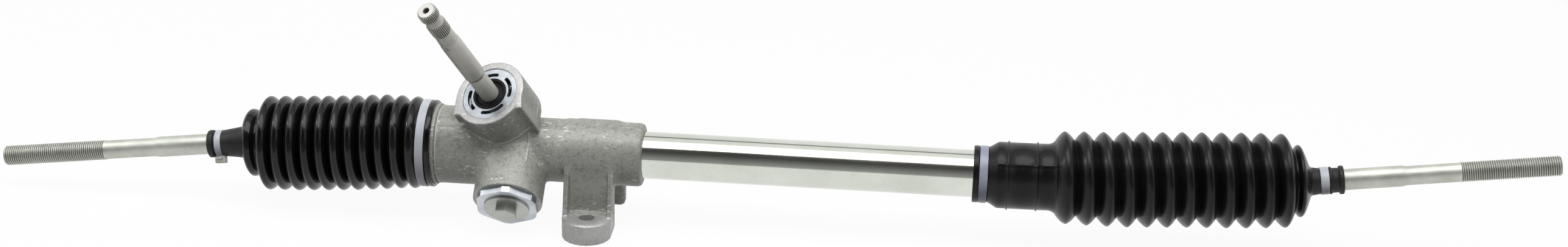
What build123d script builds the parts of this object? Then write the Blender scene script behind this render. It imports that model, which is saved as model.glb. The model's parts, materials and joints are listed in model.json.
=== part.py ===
from build123d import *
import os
from math import acos, cos, degrees, pi, radians, sin, sqrt, tan

os.makedirs("parts", exist_ok=True)

# Manual rack and pinion steering gear, left hand drive, in millimetres.
# X runs along the rack, Z is up along the foot bolts, and Y points to the rear of the gear.
# The origin lies on the mounting plane, half way between the two foot bolts and under the rack.

# Rack and travel
RACK_HEIGHT = 50.0
RACK_D = 25.0
RACK_TRAVEL = 70.0
STOP_GAP = 1.0
LEFT_BALL_X = -189.2
RIGHT_BALL_X = 437.1

# Pinion and its teeth
PINION_X = -55.0
PINION_RISE = 53.6
PINION_LEAN = 17.0
PINION_TEETH = 7
MODULE = 2.0
PRESSURE_ANGLE = 20.0
PROFILE_SHIFT = 0.6
PINION_ADDENDUM = 1.2
TOOTH_ROOT_GAP = 0.25
BACKLASH = 0.16
RACK_TIP_HEIGHT = 7.5
PINION_FACE = 30.0

# Pinion shaft above and below the teeth, as lengths along the shaft
SHOULDER_TOP = 33.0
JOURNAL_D = 17.0
SEAL_TRACK_D = 13.0
SEAL_TRACK_LENGTH = 23.0
SHAFT_D = 14.3
SHAFT_LENGTH = 45.0
SHAFT_STEP_CONE = 1.5
SPLINE_D = 13.5
SPLINE_NECK_D = 12.6
SPLINE_NECK_LENGTH = 4.0
LOCATING_FLAT_DEPTH = 1.4
LOCATING_FLAT_TURN = 244.0
LOWER_SPLINE_LENGTH = 14.0
CLAMP_GROOVE_D = 11.4
CLAMP_GROOVE_LENGTH = 8.0
UPPER_SPLINE_LENGTH = 12.5
SHAFT_CENTRE_D = 4.6
LOWER_JOURNAL_D = 12.0
LOWER_JOURNAL_LENGTH = 14.0

# Pinion bearing, seal and closing plate
BEARING_OD = 40.0
BEARING_WIDTH = 12.0
BALL_D = 6.7
BALL_COUNT = 8
RACE_GAP = 4.5
CIRCLIP_THICKNESS = 1.2
CIRCLIP_HEIGHT = 2.0
CIRCLIP_OPENING = 2.0
SEAL_OD = 24.4
SEAL_WIDTH = 3.2
PLATE_THICKNESS = 2.6
PLATE_RIM = 2.8
SLOT_RADIUS = 15.2
SLOT_WIDTH = 2.7
SLOT_SPAN = 56.0
SLOT_TURN = 16.0
SLOT_COUNT = 4
LOWER_BUSH_WALL = 2.0
LOWER_BUSH_LENGTH = 12.0

# Rack guide and its adjuster, as distances from the rack axis
GUIDE_D = 32.0
GUIDE_HORN = 6.0
GUIDE_END = 30.0
LINER_WALL = 1.2
SPRING_WIRE_D = 2.6
SPRING_MEAN_D = 17.0
SPRING_TURNS = 4.0
GUIDE_POCKET_DEPTH = 10.0
PLUG_D = 31.7
PLUG_INNER = 34.0
PLUG_FACE = 50.3
PLUG_HEX = 14.0
PLUG_HEX_HEIGHT = 5.6
PLUG_HEX_TURN = 25.0
PLUG_POCKET_DEPTH = 6.0
LOCK_NUT_HEX = 41.0
LOCK_NUT_CORNER_D = 44.5
LOCK_NUT_THICKNESS = 5.0
LOCK_NUT_TURN = 26.0
ORING_SECTION = 2.4

# Cast housing
DRUM_D = 54.7
DRUM_RIM_D = 57.0
DRUM_RIM_WIDTH = 2.3
DRUM_RIM_X = -109.5
DRUM_LEFT_X = -126.0
DRUM_CONE = 15.0
SOCKET_WELL_D = 46.0
BARREL_D = 44.6
BARREL_RIGHT_X = 36.0
BARREL_EDGE_ROUND = 3.0
TOWER_R = 25.3
TOWER_TOP = 50.8
TOWER_NECK_R = 19.0
TOWER_TAIL_R = 13.0
LEFT_EAR_DEPTH = 10.5
RIGHT_EAR_DEPTH = 33.0
EAR_REACH = 14.8
EAR_FLAT = 22.8
RIGHT_EAR_R = 26.2
BOSS_D = 48.5
BOSS_FACE = 43.8
CASTING_WALL = 4.0

# Bracket and feet
BOLT_SPACING = 64.0
BOLT_HOLE_D = 10.5
FOOT_WIDTH = 34.6
FOOT_THICKNESS = 14.0
LEG_RISE = 2.5
WEB_THICKNESS = 8.0
RIB_WIDTH = 3.4
BAND_RAISE = 0.6
TOP_PAD_RAISE = 1.7
TOP_PAD_START_ANGLE = 26.6
TOP_PAD_END_ANGLE = 95.7
REAR_FOOT_INNER_Y = 21.0
REAR_FOOT_WIDTH = 37.5
REAR_FOOT_EDGE = 3.0
REAR_WEB_REACH = 0.55

# Steel tube and rack bush
TUBE_D = 33.0
TUBE_WALL = 2.5
TUBE_ENGAGEMENT = 26.0
BUSH_LENGTH = 20.0
BUSH_INSET = 2.0

# Inner ball joints and tie rods, as distances from the ball centre
LEFT_ROD_RISE = -6.9
RIGHT_ROD_RISE = 7.6
BALL_R = 13.5
SEAT_WALL = 2.4
SEAT_FRONT = 7.5
SEAT_BACK = 12.0
SOCKET_R = 18.0
SOCKET_MOUTH = 10.0
SOCKET_BACK = 25.0
STUD_D = 14.0
STUD_LENGTH = 18.0
WASHER_D = 34.0
WASHER_THICKNESS = 2.5
ROD_NECK_D = 12.0
ROD_NECK_END = 20.0
ROD_SHANK_D = 14.5
ROD_SHANK_END = 123.2
ROD_WAIST_D = 13.2
ROD_THREAD_START = 163.0
ROD_THREAD_D = 14.0
LEFT_THREAD_LENGTH = 74.0
RIGHT_THREAD_LENGTH = 67.0
ROD_TAPER = 3.0

# Boots and their bands
BOOT_WALL = 1.8
BOOT_BEAD_R = 9.8
BOOT_BEAD_LENGTH = 4.0
LEFT_BOOT_SMALL_END = 86.2
LEFT_BOOT_NECK_LENGTH = 27.9
LEFT_BOOT_NECK_R = 11.5
LEFT_BOOT_NECK_TIP_R = 9.2
LEFT_BOOT_BAND_SEAT_R = 8.3
LEFT_BOOT_END_CREST_INSET = 4.8
LEFT_BOOT_LAST_CREST_INSET = 16.9
LEFT_BOOT_LIP_LENGTH = 11.4
LEFT_BOOT_CREST_R = 33.5
LEFT_BOOT_VALLEY_R = 28.5
LEFT_BOOT_CREST_SHARE = 0.4
LEFT_BOOT_CREST_COUNT = 11
LEFT_BOOT_END_CREST_R = 23.9
RIGHT_BOOT_SMALL_END = 84.0
RIGHT_BOOT_NECK_LENGTH = 20.7
RIGHT_BOOT_NECK_R = 9.6
RIGHT_BOOT_NECK_TIP_R = 8.9
RIGHT_BOOT_BAND_SEAT_R = 8.2
RIGHT_BOOT_END_CREST_INSET = 10.8
RIGHT_BOOT_LAST_CREST_INSET = 22.1
RIGHT_BOOT_LIP_X = 266.3
RIGHT_BOOT_LIP_LENGTH = 10.0
RIGHT_BOOT_CREST_R = 33.0
RIGHT_BOOT_VALLEY_R = 26.0
RIGHT_BOOT_CREST_SHARE = 0.16
RIGHT_BOOT_CREST_COUNT = 12
RIGHT_BOOT_END_CREST_R = 25.0
RIGHT_SLEEVE_R = 23.15
RIGHT_SLEEVE_CONE = 7.6
RIGHT_SLEEVE_LENGTH = 36.0
BOOT_LIP_WALL = 2.2
BAND_WALL = 1.1
BAND_HEAD = 6.0
LEFT_LARGE_BAND_WIDTH = 5.9
RIGHT_LARGE_BAND_WIDTH = 5.9
LEFT_SMALL_BAND_WIDTH = 4.5
LEFT_SMALL_BAND_INSET = 5.6
RIGHT_SMALL_BAND_WIDTH = 5.9
RIGHT_SMALL_BAND_INSET = 10.2
LEFT_LARGE_BAND_INSET = 3.2
RIGHT_LARGE_BAND_INSET = 4.2

# Clearances and edges
EDGE_CHAMFER = 1.2
PRESS_GAP = 0.02
RUNNING_GAP = 0.05
SLIDE_GAP = 0.6
BOOT_GAP = 0.3

# Worked out sizes
lean = radians(PINION_LEAN)
rise = radians(PINION_RISE)
pitch_r = MODULE * PINION_TEETH / 2
base_r = pitch_r * cos(radians(PRESSURE_ANGLE))
rack_pitch_height = RACK_TIP_HEIGHT - MODULE
pinion_offset = rack_pitch_height + pitch_r + PROFILE_SHIFT * MODULE
pinion_tip_r = pitch_r + PINION_ADDENDUM * MODULE
pinion_root_r = pinion_offset - RACK_TIP_HEIGHT - TOOTH_ROOT_GAP * MODULE
rack_root_height = pinion_offset - pinion_tip_r - TOOTH_ROOT_GAP * MODULE
tooth_pitch = pi * MODULE
rack_pitch = tooth_pitch / cos(lean)
bearing_top = SHOULDER_TOP + BEARING_WIDTH
journal_top = bearing_top + 2 * CIRCLIP_THICKNESS
plate_bottom = journal_top + RUNNING_GAP
shaft_step = plate_bottom + SEAL_TRACK_LENGTH
shaft_top = shaft_step + SHAFT_LENGTH
lower_spline = shaft_top + SPLINE_NECK_LENGTH
clamp_groove = lower_spline + LOWER_SPLINE_LENGTH
upper_spline = clamp_groove + CLAMP_GROOVE_LENGTH
shaft_tip = upper_spline + UPPER_SPLINE_LENGTH
lower_journal_end = -PINION_FACE / 2 - LOWER_JOURNAL_LENGTH
rack_left_x = LEFT_BALL_X + SOCKET_BACK + WASHER_THICKNESS
rack_right_x = RIGHT_BALL_X - SOCKET_BACK - WASHER_THICKNESS
well_floor_x = rack_left_x + RACK_TRAVEL + STOP_GAP
tube_left_x = BARREL_RIGHT_X - TUBE_ENGAGEMENT
tube_right_x = rack_right_x - RACK_TRAVEL - STOP_GAP
tube_bore_r = TUBE_D / 2 - TUBE_WALL
rack_bore_r = RACK_D / 2 + SLIDE_GAP
seat_r = BALL_R + RUNNING_GAP + SEAT_WALL
tooth_run = RACK_TRAVEL + PINION_FACE / 2

# Directions: the shaft, the way from rack to pinion, and the way the rack teeth pass the pinion
shaft_dir = Vector(-sin(lean), -cos(lean) * cos(rise), cos(lean) * sin(rise))
mesh_dir = Vector(0, sin(rise), cos(rise))
pass_dir = mesh_dir.cross(shaft_dir)
pinion_point = Vector(PINION_X, 0, RACK_HEIGHT) + mesh_dir * pinion_offset

# Work planes: local x runs along the turning axis on the side planes
rack_side = Plane(origin=(0, 0, RACK_HEIGHT), x_dir=(1, 0, 0), z_dir=(0, -1, 0))
rack_across = Plane(origin=(0, 0, RACK_HEIGHT), x_dir=(0, 1, 0), z_dir=(1, 0, 0))
shaft_side = Plane(origin=pinion_point, x_dir=shaft_dir, z_dir=-pass_dir)
shaft_across = Plane(origin=pinion_point, x_dir=pass_dir, z_dir=shaft_dir)
guide_side = Plane(origin=(PINION_X, 0, RACK_HEIGHT), x_dir=-mesh_dir, z_dir=(1, 0, 0))
guide_across = Plane(origin=(PINION_X, 0, RACK_HEIGHT), x_dir=(1, 0, 0), z_dir=-mesh_dir)


def turn(plane, points, mode=Mode.ADD):
    """Spin an outline of (distance along the axis, radius) points round the plane's x axis."""
    with BuildSketch(plane) as outline:
        with BuildLine():
            Polyline(*points, close=True)
        make_face()
    revolve(outline.sketch, axis=Axis(plane.origin, plane.x_dir), mode=mode)


def ring(plane, start, end, inner_r, outer_r, mode=Mode.ADD):
    """A plain ring, or a disc where the inner radius is zero."""
    turn(plane, [(start, inner_r), (end, inner_r), (end, outer_r), (start, outer_r)], mode)


def write(piece, name):
    """Name a finished piece and write its file."""
    piece.part.label = name
    export_step(piece.part, f"parts/{name}.step")


# Cast aluminium housing
boss_half = BOSS_D / 2
barrel_r = BARREL_D / 2
drum_r = DRUM_D / 2
half_spacing = BOLT_SPACING / 2
foot_r = FOOT_WIDTH / 2
leg_top = RACK_HEIGHT + LEG_RISE
rear_web_y = barrel_r * REAR_WEB_REACH
rear_foot_r = REAR_FOOT_WIDTH / 2
tail_end = lower_journal_end - CASTING_WALL
ear_bottom = TOWER_TOP - RIGHT_EAR_DEPTH

with BuildPart() as housing:
    drum_rim_left = DRUM_RIM_X - DRUM_RIM_WIDTH
    edge_mid = BARREL_EDGE_ROUND * (1 - cos(pi / 4))
    turn(rack_side, [
        (DRUM_LEFT_X, 0),
        (BARREL_RIGHT_X, 0),
        (BARREL_RIGHT_X, barrel_r - BARREL_EDGE_ROUND),
        (BARREL_RIGHT_X - edge_mid, barrel_r - edge_mid),
        (BARREL_RIGHT_X - BARREL_EDGE_ROUND, barrel_r),
        (PINION_X + DRUM_CONE, barrel_r),
        (PINION_X - DRUM_CONE, drum_r),
        (DRUM_RIM_X, drum_r),
        (DRUM_RIM_X, DRUM_RIM_D / 2),
        (drum_rim_left, DRUM_RIM_D / 2),
        (drum_rim_left, drum_r),
        (DRUM_LEFT_X, drum_r),
    ])
    ring(guide_side, 0, BOSS_FACE, 0, boss_half)
    turn(shaft_side, [
        (tail_end, 0),
        (TOWER_TOP, 0),
        (TOWER_TOP, TOWER_R),
        (ear_bottom, TOWER_R),
        (ear_bottom, TOWER_NECK_R),
        (ear_bottom - TOWER_NECK_R, TOWER_TAIL_R),
        (tail_end, TOWER_TAIL_R),
    ])
    # Ears on both sides of the tower head, stepped at the plane through the rack
    with BuildSketch(shaft_across.offset(TOWER_TOP)):
        with BuildLine():
            Polyline((-TOWER_R, 0), (-TOWER_R, -EAR_REACH), (0, -EAR_REACH), (0, 0), close=True)
        make_face()
    extrude(amount=-LEFT_EAR_DEPTH)
    with BuildSketch(shaft_across.offset(TOWER_TOP)):
        flat_height = sqrt(TOWER_R**2 - EAR_FLAT**2)
        with BuildLine():
            Polyline(
                (0, flat_height),
                (EAR_FLAT, flat_height),
                (RIGHT_EAR_R, -EAR_REACH),
                (0, -EAR_REACH),
                close=True,
            )
        make_face()
    extrude(amount=-RIGHT_EAR_DEPTH)
    # Raised band under the clamp and its thicker pad on top
    with BuildSketch(rack_across.offset(-foot_r)):
        Circle(barrel_r + BAND_RAISE)
    extrude(amount=FOOT_WIDTH)
    with BuildSketch(rack_across.offset(-foot_r)):
        Circle(barrel_r + TOP_PAD_RAISE)
        pad_reach = 2 * BARREL_D
        pad_start = radians(TOP_PAD_START_ANGLE)
        pad_end = radians(TOP_PAD_END_ANGLE)
        with BuildLine():
            Polyline(
                (0, 0),
                (pad_reach * cos(pad_start), pad_reach * sin(pad_start)),
                (pad_reach * cos(pad_end), pad_reach * sin(pad_end)),
                close=True,
            )
        make_face(mode=Mode.INTERSECT)
    extrude(amount=FOOT_WIDTH)
    # Front and rear foot with rounded ends
    with BuildSketch(Plane.XY):
        with Locations((0, -half_spacing)):
            Circle(foot_r)
        with Locations((0, -(half_spacing + barrel_r - WEB_THICKNESS) / 2)):
            Rectangle(FOOT_WIDTH, half_spacing - barrel_r + WEB_THICKNESS)
    extrude(amount=FOOT_THICKNESS)
    with BuildSketch(Plane.XY):
        with Locations((0, half_spacing)):
            Circle(rear_foot_r)
        with Locations((0, half_spacing - rear_foot_r / 2)):
            Rectangle(REAR_FOOT_WIDTH, rear_foot_r)
        with Locations((0, REAR_FOOT_INNER_Y + REAR_FOOT_EDGE - rear_foot_r)):
            Rectangle(REAR_FOOT_WIDTH, 2 * rear_foot_r, mode=Mode.SUBTRACT)
    extrude(amount=FOOT_THICKNESS)
    # Front and rear webs
    with BuildSketch(Plane.YZ.offset(-foot_r)):
        with Locations((-barrel_r + WEB_THICKNESS / 2, leg_top / 2)):
            Rectangle(WEB_THICKNESS, leg_top)
    extrude(amount=FOOT_WIDTH)
    with BuildSketch(Plane.YZ.offset(-rear_foot_r)):
        with BuildLine():
            Polyline(
                (REAR_FOOT_INNER_Y + REAR_FOOT_EDGE, 0),
                (REAR_FOOT_INNER_Y, REAR_FOOT_EDGE),
                (rear_web_y, RACK_HEIGHT - sqrt(barrel_r**2 - rear_web_y**2)),
                (0, leg_top),
                (barrel_r, leg_top),
                (REAR_FOOT_INNER_Y + WEB_THICKNESS, FOOT_THICKNESS),
                (REAR_FOOT_INNER_Y + WEB_THICKNESS, 0),
                close=True,
            )
        make_face()
    extrude(amount=REAR_FOOT_WIDTH)
    # Side ribs of the front and rear feet
    for rib_way, rib_reach in ((-1, foot_r), (1, rear_foot_r)):
        for rib_x in (-rib_reach, rib_reach - RIB_WIDTH):
            with BuildSketch(Plane.YZ.offset(rib_x)):
                with BuildLine():
                    Polyline(
                        (rib_way * half_spacing, 0),
                        (rib_way * half_spacing, FOOT_THICKNESS),
                        (rib_way * barrel_r, leg_top),
                        (rib_way * (barrel_r - RIB_WIDTH / 2), leg_top),
                        (rib_way * (REAR_FOOT_INNER_Y + REAR_FOOT_EDGE), 0),
                        close=True,
                    )
                make_face()
            extrude(amount=RIB_WIDTH)
    # Bores for rack, sockets, tube, pinion, bearing, bush and rack guide
    ring(rack_side, DRUM_LEFT_X, tube_left_x, 0, rack_bore_r, Mode.SUBTRACT)
    ring(rack_side, DRUM_LEFT_X, well_floor_x, 0, SOCKET_WELL_D / 2, Mode.SUBTRACT)
    ring(rack_side, tube_left_x, BARREL_RIGHT_X, 0, TUBE_D / 2 + PRESS_GAP, Mode.SUBTRACT)
    pinion_bore_r = pinion_tip_r + SLIDE_GAP
    ring(shaft_side, -PINION_FACE / 2 - SLIDE_GAP, SHOULDER_TOP, 0, pinion_bore_r, Mode.SUBTRACT)
    ring(shaft_side, SHOULDER_TOP, TOWER_TOP, 0, BEARING_OD / 2 + PRESS_GAP, Mode.SUBTRACT)
    lower_bush_r = LOWER_JOURNAL_D / 2 + RUNNING_GAP + LOWER_BUSH_WALL
    lower_bore_end = lower_journal_end - STOP_GAP
    ring(shaft_side, lower_bore_end, 0, 0, lower_bush_r + PRESS_GAP, Mode.SUBTRACT)
    ring(guide_side, 0, BOSS_FACE, 0, GUIDE_D / 2 + RUNNING_GAP, Mode.SUBTRACT)
    with BuildSketch(Plane.XY):
        with Locations((0, -half_spacing), (0, half_spacing)):
            Circle(BOLT_HOLE_D / 2)
    extrude(amount=FOOT_THICKNESS, mode=Mode.SUBTRACT)
write(housing, "housing")

# Steel tube pressed into the housing, and the bush in its far end
with BuildPart() as rack_tube:
    ring(rack_side, tube_left_x, tube_right_x, tube_bore_r, TUBE_D / 2)
write(rack_tube, "rack_tube")

with BuildPart() as rack_bush:
    bush_end = tube_right_x - BUSH_INSET
    ring(rack_side, bush_end - BUSH_LENGTH, bush_end, RACK_D / 2 + RUNNING_GAP, tube_bore_r - PRESS_GAP)
write(rack_bush, "rack_bush")

# Rack bar with oblique teeth that stay parallel to the pinion shaft
with BuildPart() as rack_bar:
    ring(rack_side, rack_left_x, rack_right_x, 0, RACK_D / 2)
    tooth_plane = Plane(origin=(PINION_X, 0, RACK_HEIGHT), x_dir=(1, 0, 0), z_dir=mesh_dir)
    with BuildSketch(tooth_plane.offset(RACK_TIP_HEIGHT)):
        Rectangle(2 * tooth_run, RACK_D)
    extrude(amount=RACK_D, mode=Mode.SUBTRACT)
    gap_count = 2 * int(tooth_run / rack_pitch)
    gap_half = tooth_pitch / 4 + BACKLASH / 4
    flank = tan(radians(PRESSURE_ANGLE))
    root_half = gap_half - (rack_pitch_height - rack_root_height) * flank
    tip_half = gap_half + MODULE * flank
    for gap in range(gap_count):
        gap_x = PINION_X + (gap - gap_count / 2 + 0.5) * rack_pitch
        with BuildSketch(Plane(origin=(gap_x, 0, RACK_HEIGHT), x_dir=pass_dir, z_dir=shaft_dir)):
            with BuildLine():
                Polyline(
                    (-root_half, rack_root_height),
                    (root_half, rack_root_height),
                    (tip_half, RACK_TIP_HEIGHT),
                    (-tip_half, RACK_TIP_HEIGHT),
                    close=True,
                )
            make_face()
        extrude(amount=RACK_D, both=True, mode=Mode.SUBTRACT)
    for end_x, inward in ((rack_left_x, 1), (rack_right_x, -1)):
        ring(rack_side, end_x, end_x + inward * (STUD_LENGTH + STOP_GAP), 0, STUD_D / 2 + PRESS_GAP, Mode.SUBTRACT)
write(rack_bar, "rack_bar")

# Pinion: involute teeth cut in the shaft, with bearing journals, seal track and clamp splines
involute_steps = 4
half_tooth = pi / 2 / PINION_TEETH + 2 * PROFILE_SHIFT * tan(radians(PRESSURE_ANGLE)) / PINION_TEETH
half_tooth_base = half_tooth + tan(radians(PRESSURE_ANGLE)) - radians(PRESSURE_ANGLE) - BACKLASH / 4 / pitch_r


def flank_point(radius, centre, way):
    """A point on the left or right flank of the tooth at this angle."""
    roll = acos(min(1.0, base_r / radius))
    angle = degrees(centre + way * (half_tooth_base - tan(roll) + roll))
    return (radius * cos(radians(angle)), radius * sin(radians(angle)))


tooth_radii = [pinion_root_r] + [
    base_r + (pinion_tip_r - base_r) * step / involute_steps for step in range(involute_steps + 1)
]
pinion_outline = []
for tooth in range(PINION_TEETH):
    tooth_angle = (tooth + 0.5) * 2 * pi / PINION_TEETH
    pinion_outline += [flank_point(radius, tooth_angle, -1) for radius in tooth_radii]
    pinion_outline += [flank_point(radius, tooth_angle, 1) for radius in reversed(tooth_radii)]

with BuildPart() as pinion_shaft:
    tooth_start = Plane(origin=pinion_point - shaft_dir * (PINION_FACE / 2), x_dir=-mesh_dir, z_dir=shaft_dir)
    with BuildSketch(tooth_start):
        with BuildLine():
            Polyline(*pinion_outline, close=True)
        make_face()
    extrude(amount=PINION_FACE)
    turn(shaft_side, [
        (lower_journal_end, 0),
        (lower_journal_end, LOWER_JOURNAL_D / 2),
        (-PINION_FACE / 2, LOWER_JOURNAL_D / 2),
        (-PINION_FACE / 2, pinion_root_r - PRESS_GAP),
        (PINION_FACE / 2, pinion_root_r - PRESS_GAP),
        (PINION_FACE / 2, pinion_tip_r),
        (SHOULDER_TOP, pinion_tip_r),
        (SHOULDER_TOP, JOURNAL_D / 2),
        (bearing_top, JOURNAL_D / 2),
        (bearing_top, JOURNAL_D / 2 - CIRCLIP_HEIGHT / 2),
        (bearing_top + CIRCLIP_THICKNESS, JOURNAL_D / 2 - CIRCLIP_HEIGHT / 2),
        (bearing_top + CIRCLIP_THICKNESS, JOURNAL_D / 2),
        (journal_top, JOURNAL_D / 2),
        (journal_top, SEAL_TRACK_D / 2),
        (shaft_step, SEAL_TRACK_D / 2),
        (shaft_step + SHAFT_STEP_CONE, SHAFT_D / 2),
        (shaft_top, SHAFT_D / 2),
        (lower_spline, SPLINE_NECK_D / 2),
        (lower_spline, SPLINE_D / 2),
        (clamp_groove, SPLINE_D / 2),
        (clamp_groove, CLAMP_GROOVE_D / 2),
        (upper_spline, CLAMP_GROOVE_D / 2),
        (upper_spline, SPLINE_D / 2),
        (shaft_tip - EDGE_CHAMFER, SPLINE_D / 2),
        (shaft_tip, SPLINE_D / 2 - EDGE_CHAMFER),
        (shaft_tip, 0),
    ])
    turn(shaft_side, [
        (shaft_tip, 0),
        (shaft_tip, SHAFT_CENTRE_D / 2),
        (shaft_tip - SHAFT_CENTRE_D, 0),
    ], Mode.SUBTRACT)
    # Flat that sets the turn of the clamp yoke
    with BuildSketch(shaft_across.offset(shaft_top)):
        with PolarLocations(SHAFT_D - LOCATING_FLAT_DEPTH, 1, start_angle=LOCATING_FLAT_TURN):
            Rectangle(SHAFT_D, SHAFT_D)
    extrude(amount=SPLINE_NECK_LENGTH, mode=Mode.SUBTRACT)
write(pinion_shaft, "pinion_shaft")

# Ball bearing of the pinion
ball_circle_r = (JOURNAL_D + BEARING_OD) / 4
bearing_middle = SHOULDER_TOP + BEARING_WIDTH / 2
groove_r = BALL_D / 2 + RUNNING_GAP


def race(inner_r, outer_r):
    """One bearing race with its ball groove."""
    with BuildSketch(shaft_side) as section:
        with Locations((bearing_middle, (inner_r + outer_r) / 2)):
            Rectangle(BEARING_WIDTH, outer_r - inner_r)
        with Locations((bearing_middle, ball_circle_r)):
            Circle(groove_r, mode=Mode.SUBTRACT)
    revolve(section.sketch, axis=Axis(shaft_side.origin, shaft_side.x_dir))


with BuildPart() as pinion_bearing_inner_race:
    race(JOURNAL_D / 2 + PRESS_GAP, ball_circle_r - RACE_GAP / 2)
write(pinion_bearing_inner_race, "pinion_bearing_inner_race")

with BuildPart() as pinion_bearing_outer_race:
    race(ball_circle_r + RACE_GAP / 2, BEARING_OD / 2)
write(pinion_bearing_outer_race, "pinion_bearing_outer_race")

with BuildPart(shaft_across.offset(bearing_middle)) as pinion_bearing_balls:
    with PolarLocations(ball_circle_r, BALL_COUNT):
        Sphere(BALL_D / 2)
write(pinion_bearing_balls, "pinion_bearing_balls")

with BuildPart() as pinion_circlip:
    clip_r = JOURNAL_D / 2 - CIRCLIP_HEIGHT / 2 + PRESS_GAP
    ring(
        shaft_side,
        bearing_top + PRESS_GAP,
        bearing_top + CIRCLIP_THICKNESS - PRESS_GAP,
        clip_r,
        clip_r + CIRCLIP_HEIGHT,
    )
    with BuildSketch(shaft_across.offset(bearing_top)):
        with Locations((0, clip_r)):
            Rectangle(CIRCLIP_OPENING, clip_r)
    extrude(amount=CIRCLIP_THICKNESS, mode=Mode.SUBTRACT)
write(pinion_circlip, "pinion_circlip")

with BuildPart() as pinion_lower_bush:
    ring(
        shaft_side,
        lower_journal_end,
        lower_journal_end + LOWER_BUSH_LENGTH,
        LOWER_JOURNAL_D / 2 + RUNNING_GAP,
        lower_bush_r,
    )
write(pinion_lower_bush, "pinion_lower_bush")

# Plate that closes the tower, with four kidney slots, and the seal inside it
plate_top = plate_bottom + PLATE_THICKNESS
plate_r = BEARING_OD / 2 - RUNNING_GAP
with BuildPart() as seal_retainer_plate:
    turn(shaft_side, [
        (bearing_top + PRESS_GAP, plate_r - PLATE_RIM),
        (bearing_top + PRESS_GAP, plate_r),
        (plate_top, plate_r),
        (plate_top, SEAL_OD / 2),
        (plate_bottom, SEAL_OD / 2),
        (plate_bottom, plate_r - PLATE_RIM),
    ])
    with BuildSketch(shaft_across.offset(plate_bottom)):
        slot_line = Edge.make_circle(SLOT_RADIUS, start_angle=-SLOT_SPAN / 2, end_angle=SLOT_SPAN / 2)
        with PolarLocations(0, SLOT_COUNT, start_angle=SLOT_TURN):
            SlotArc(slot_line, SLOT_WIDTH)
    extrude(amount=PLATE_THICKNESS, mode=Mode.SUBTRACT)
write(seal_retainer_plate, "seal_retainer_plate")

with BuildPart() as pinion_oil_seal:
    seal_r = SEAL_OD / 2 - PRESS_GAP
    lip_r = SEAL_TRACK_D / 2 + RUNNING_GAP
    seal_bottom = plate_bottom + RUNNING_GAP
    seal_top = seal_bottom + SEAL_WIDTH
    turn(shaft_side, [
        (seal_bottom, lip_r + SEAL_WIDTH / 2),
        (seal_bottom, seal_r),
        (seal_top, seal_r),
        (seal_top, seal_r - SEAL_WIDTH / 2),
        (seal_bottom + SEAL_WIDTH / 2, (lip_r + seal_r) / 2),
        (seal_top - SEAL_WIDTH / 4, lip_r),
        (seal_bottom + SEAL_WIDTH / 4, lip_r),
    ])
write(pinion_oil_seal, "pinion_oil_seal")

# Rack guide with its low friction liner, spring, adjuster plug, seal ring and lock nut
liner_inner_r = RACK_D / 2 + RUNNING_GAP
liner_outer_r = liner_inner_r + LINER_WALL
guide_r = GUIDE_D / 2
guide_axis_x = Plane(origin=(PINION_X, 0, RACK_HEIGHT), x_dir=(0, -cos(rise), sin(rise)), z_dir=(1, 0, 0))
oring_place = (GUIDE_END + GUIDE_HORN + RACK_D / 2) / 2

with BuildPart() as rack_guide:
    ring(guide_side, GUIDE_HORN, GUIDE_END, 0, guide_r)
    with BuildSketch(guide_axis_x.offset(-GUIDE_D)):
        Circle(liner_outer_r + PRESS_GAP)
    extrude(amount=2 * GUIDE_D, mode=Mode.SUBTRACT)
    spring_outer_r = (SPRING_MEAN_D + SPRING_WIRE_D) / 2
    ring(guide_side, GUIDE_END - GUIDE_POCKET_DEPTH, GUIDE_END, 0, spring_outer_r + SLIDE_GAP, Mode.SUBTRACT)
    groove_half = ORING_SECTION / 2 + RUNNING_GAP
    groove_floor = guide_r - ORING_SECTION
    ring(guide_side, oring_place - groove_half, oring_place + groove_half, groove_floor, GUIDE_D, Mode.SUBTRACT)
write(rack_guide, "rack_guide")

with BuildPart() as rack_guide_liner:
    with BuildSketch(guide_axis_x.offset(-guide_r / 2)):
        Circle(liner_outer_r)
        Circle(liner_inner_r, mode=Mode.SUBTRACT)
        with Locations((0, GUIDE_D / 2 + GUIDE_HORN)):
            Rectangle(2 * GUIDE_D, GUIDE_D, mode=Mode.INTERSECT)
    extrude(amount=guide_r)
write(rack_guide_liner, "rack_guide_liner")

with BuildPart() as rack_guide_o_ring:
    with BuildSketch(guide_side):
        with Locations((oring_place, groove_floor + ORING_SECTION / 2)):
            Circle(ORING_SECTION / 2 - PRESS_GAP)
    revolve(axis=Axis(guide_side.origin, guide_side.x_dir))
write(rack_guide_o_ring, "rack_guide_o_ring")

spring_start = GUIDE_END - GUIDE_POCKET_DEPTH + PRESS_GAP
spring_end = PLUG_INNER + PLUG_POCKET_DEPTH - PRESS_GAP
spring_rise = spring_end - spring_start - SPRING_WIRE_D
with BuildPart() as rack_guide_spring:
    coil_foot = guide_across.offset(spring_start + SPRING_WIRE_D / 2).origin
    with BuildLine():
        coil = Helix(spring_rise / SPRING_TURNS, spring_rise, SPRING_MEAN_D / 2, coil_foot, guide_across.z_dir)
    with BuildSketch(Plane(origin=coil @ 0, z_dir=coil % 0)):
        Circle(SPRING_WIRE_D / 2)
    sweep(path=coil, is_frenet=True)
write(rack_guide_spring, "rack_guide_spring")

with BuildPart() as adjuster_plug:
    ring(guide_side, PLUG_INNER, PLUG_FACE, 0, PLUG_D / 2)
    with BuildSketch(guide_across.offset(PLUG_FACE)):
        RegularPolygon(PLUG_HEX / 2, 6, major_radius=False, rotation=PLUG_HEX_TURN)
    extrude(amount=PLUG_HEX_HEIGHT)
    ring(
        guide_side,
        PLUG_INNER,
        PLUG_INNER + PLUG_POCKET_DEPTH,
        0,
        spring_outer_r + SLIDE_GAP,
        Mode.SUBTRACT,
    )
write(adjuster_plug, "adjuster_plug")

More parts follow.
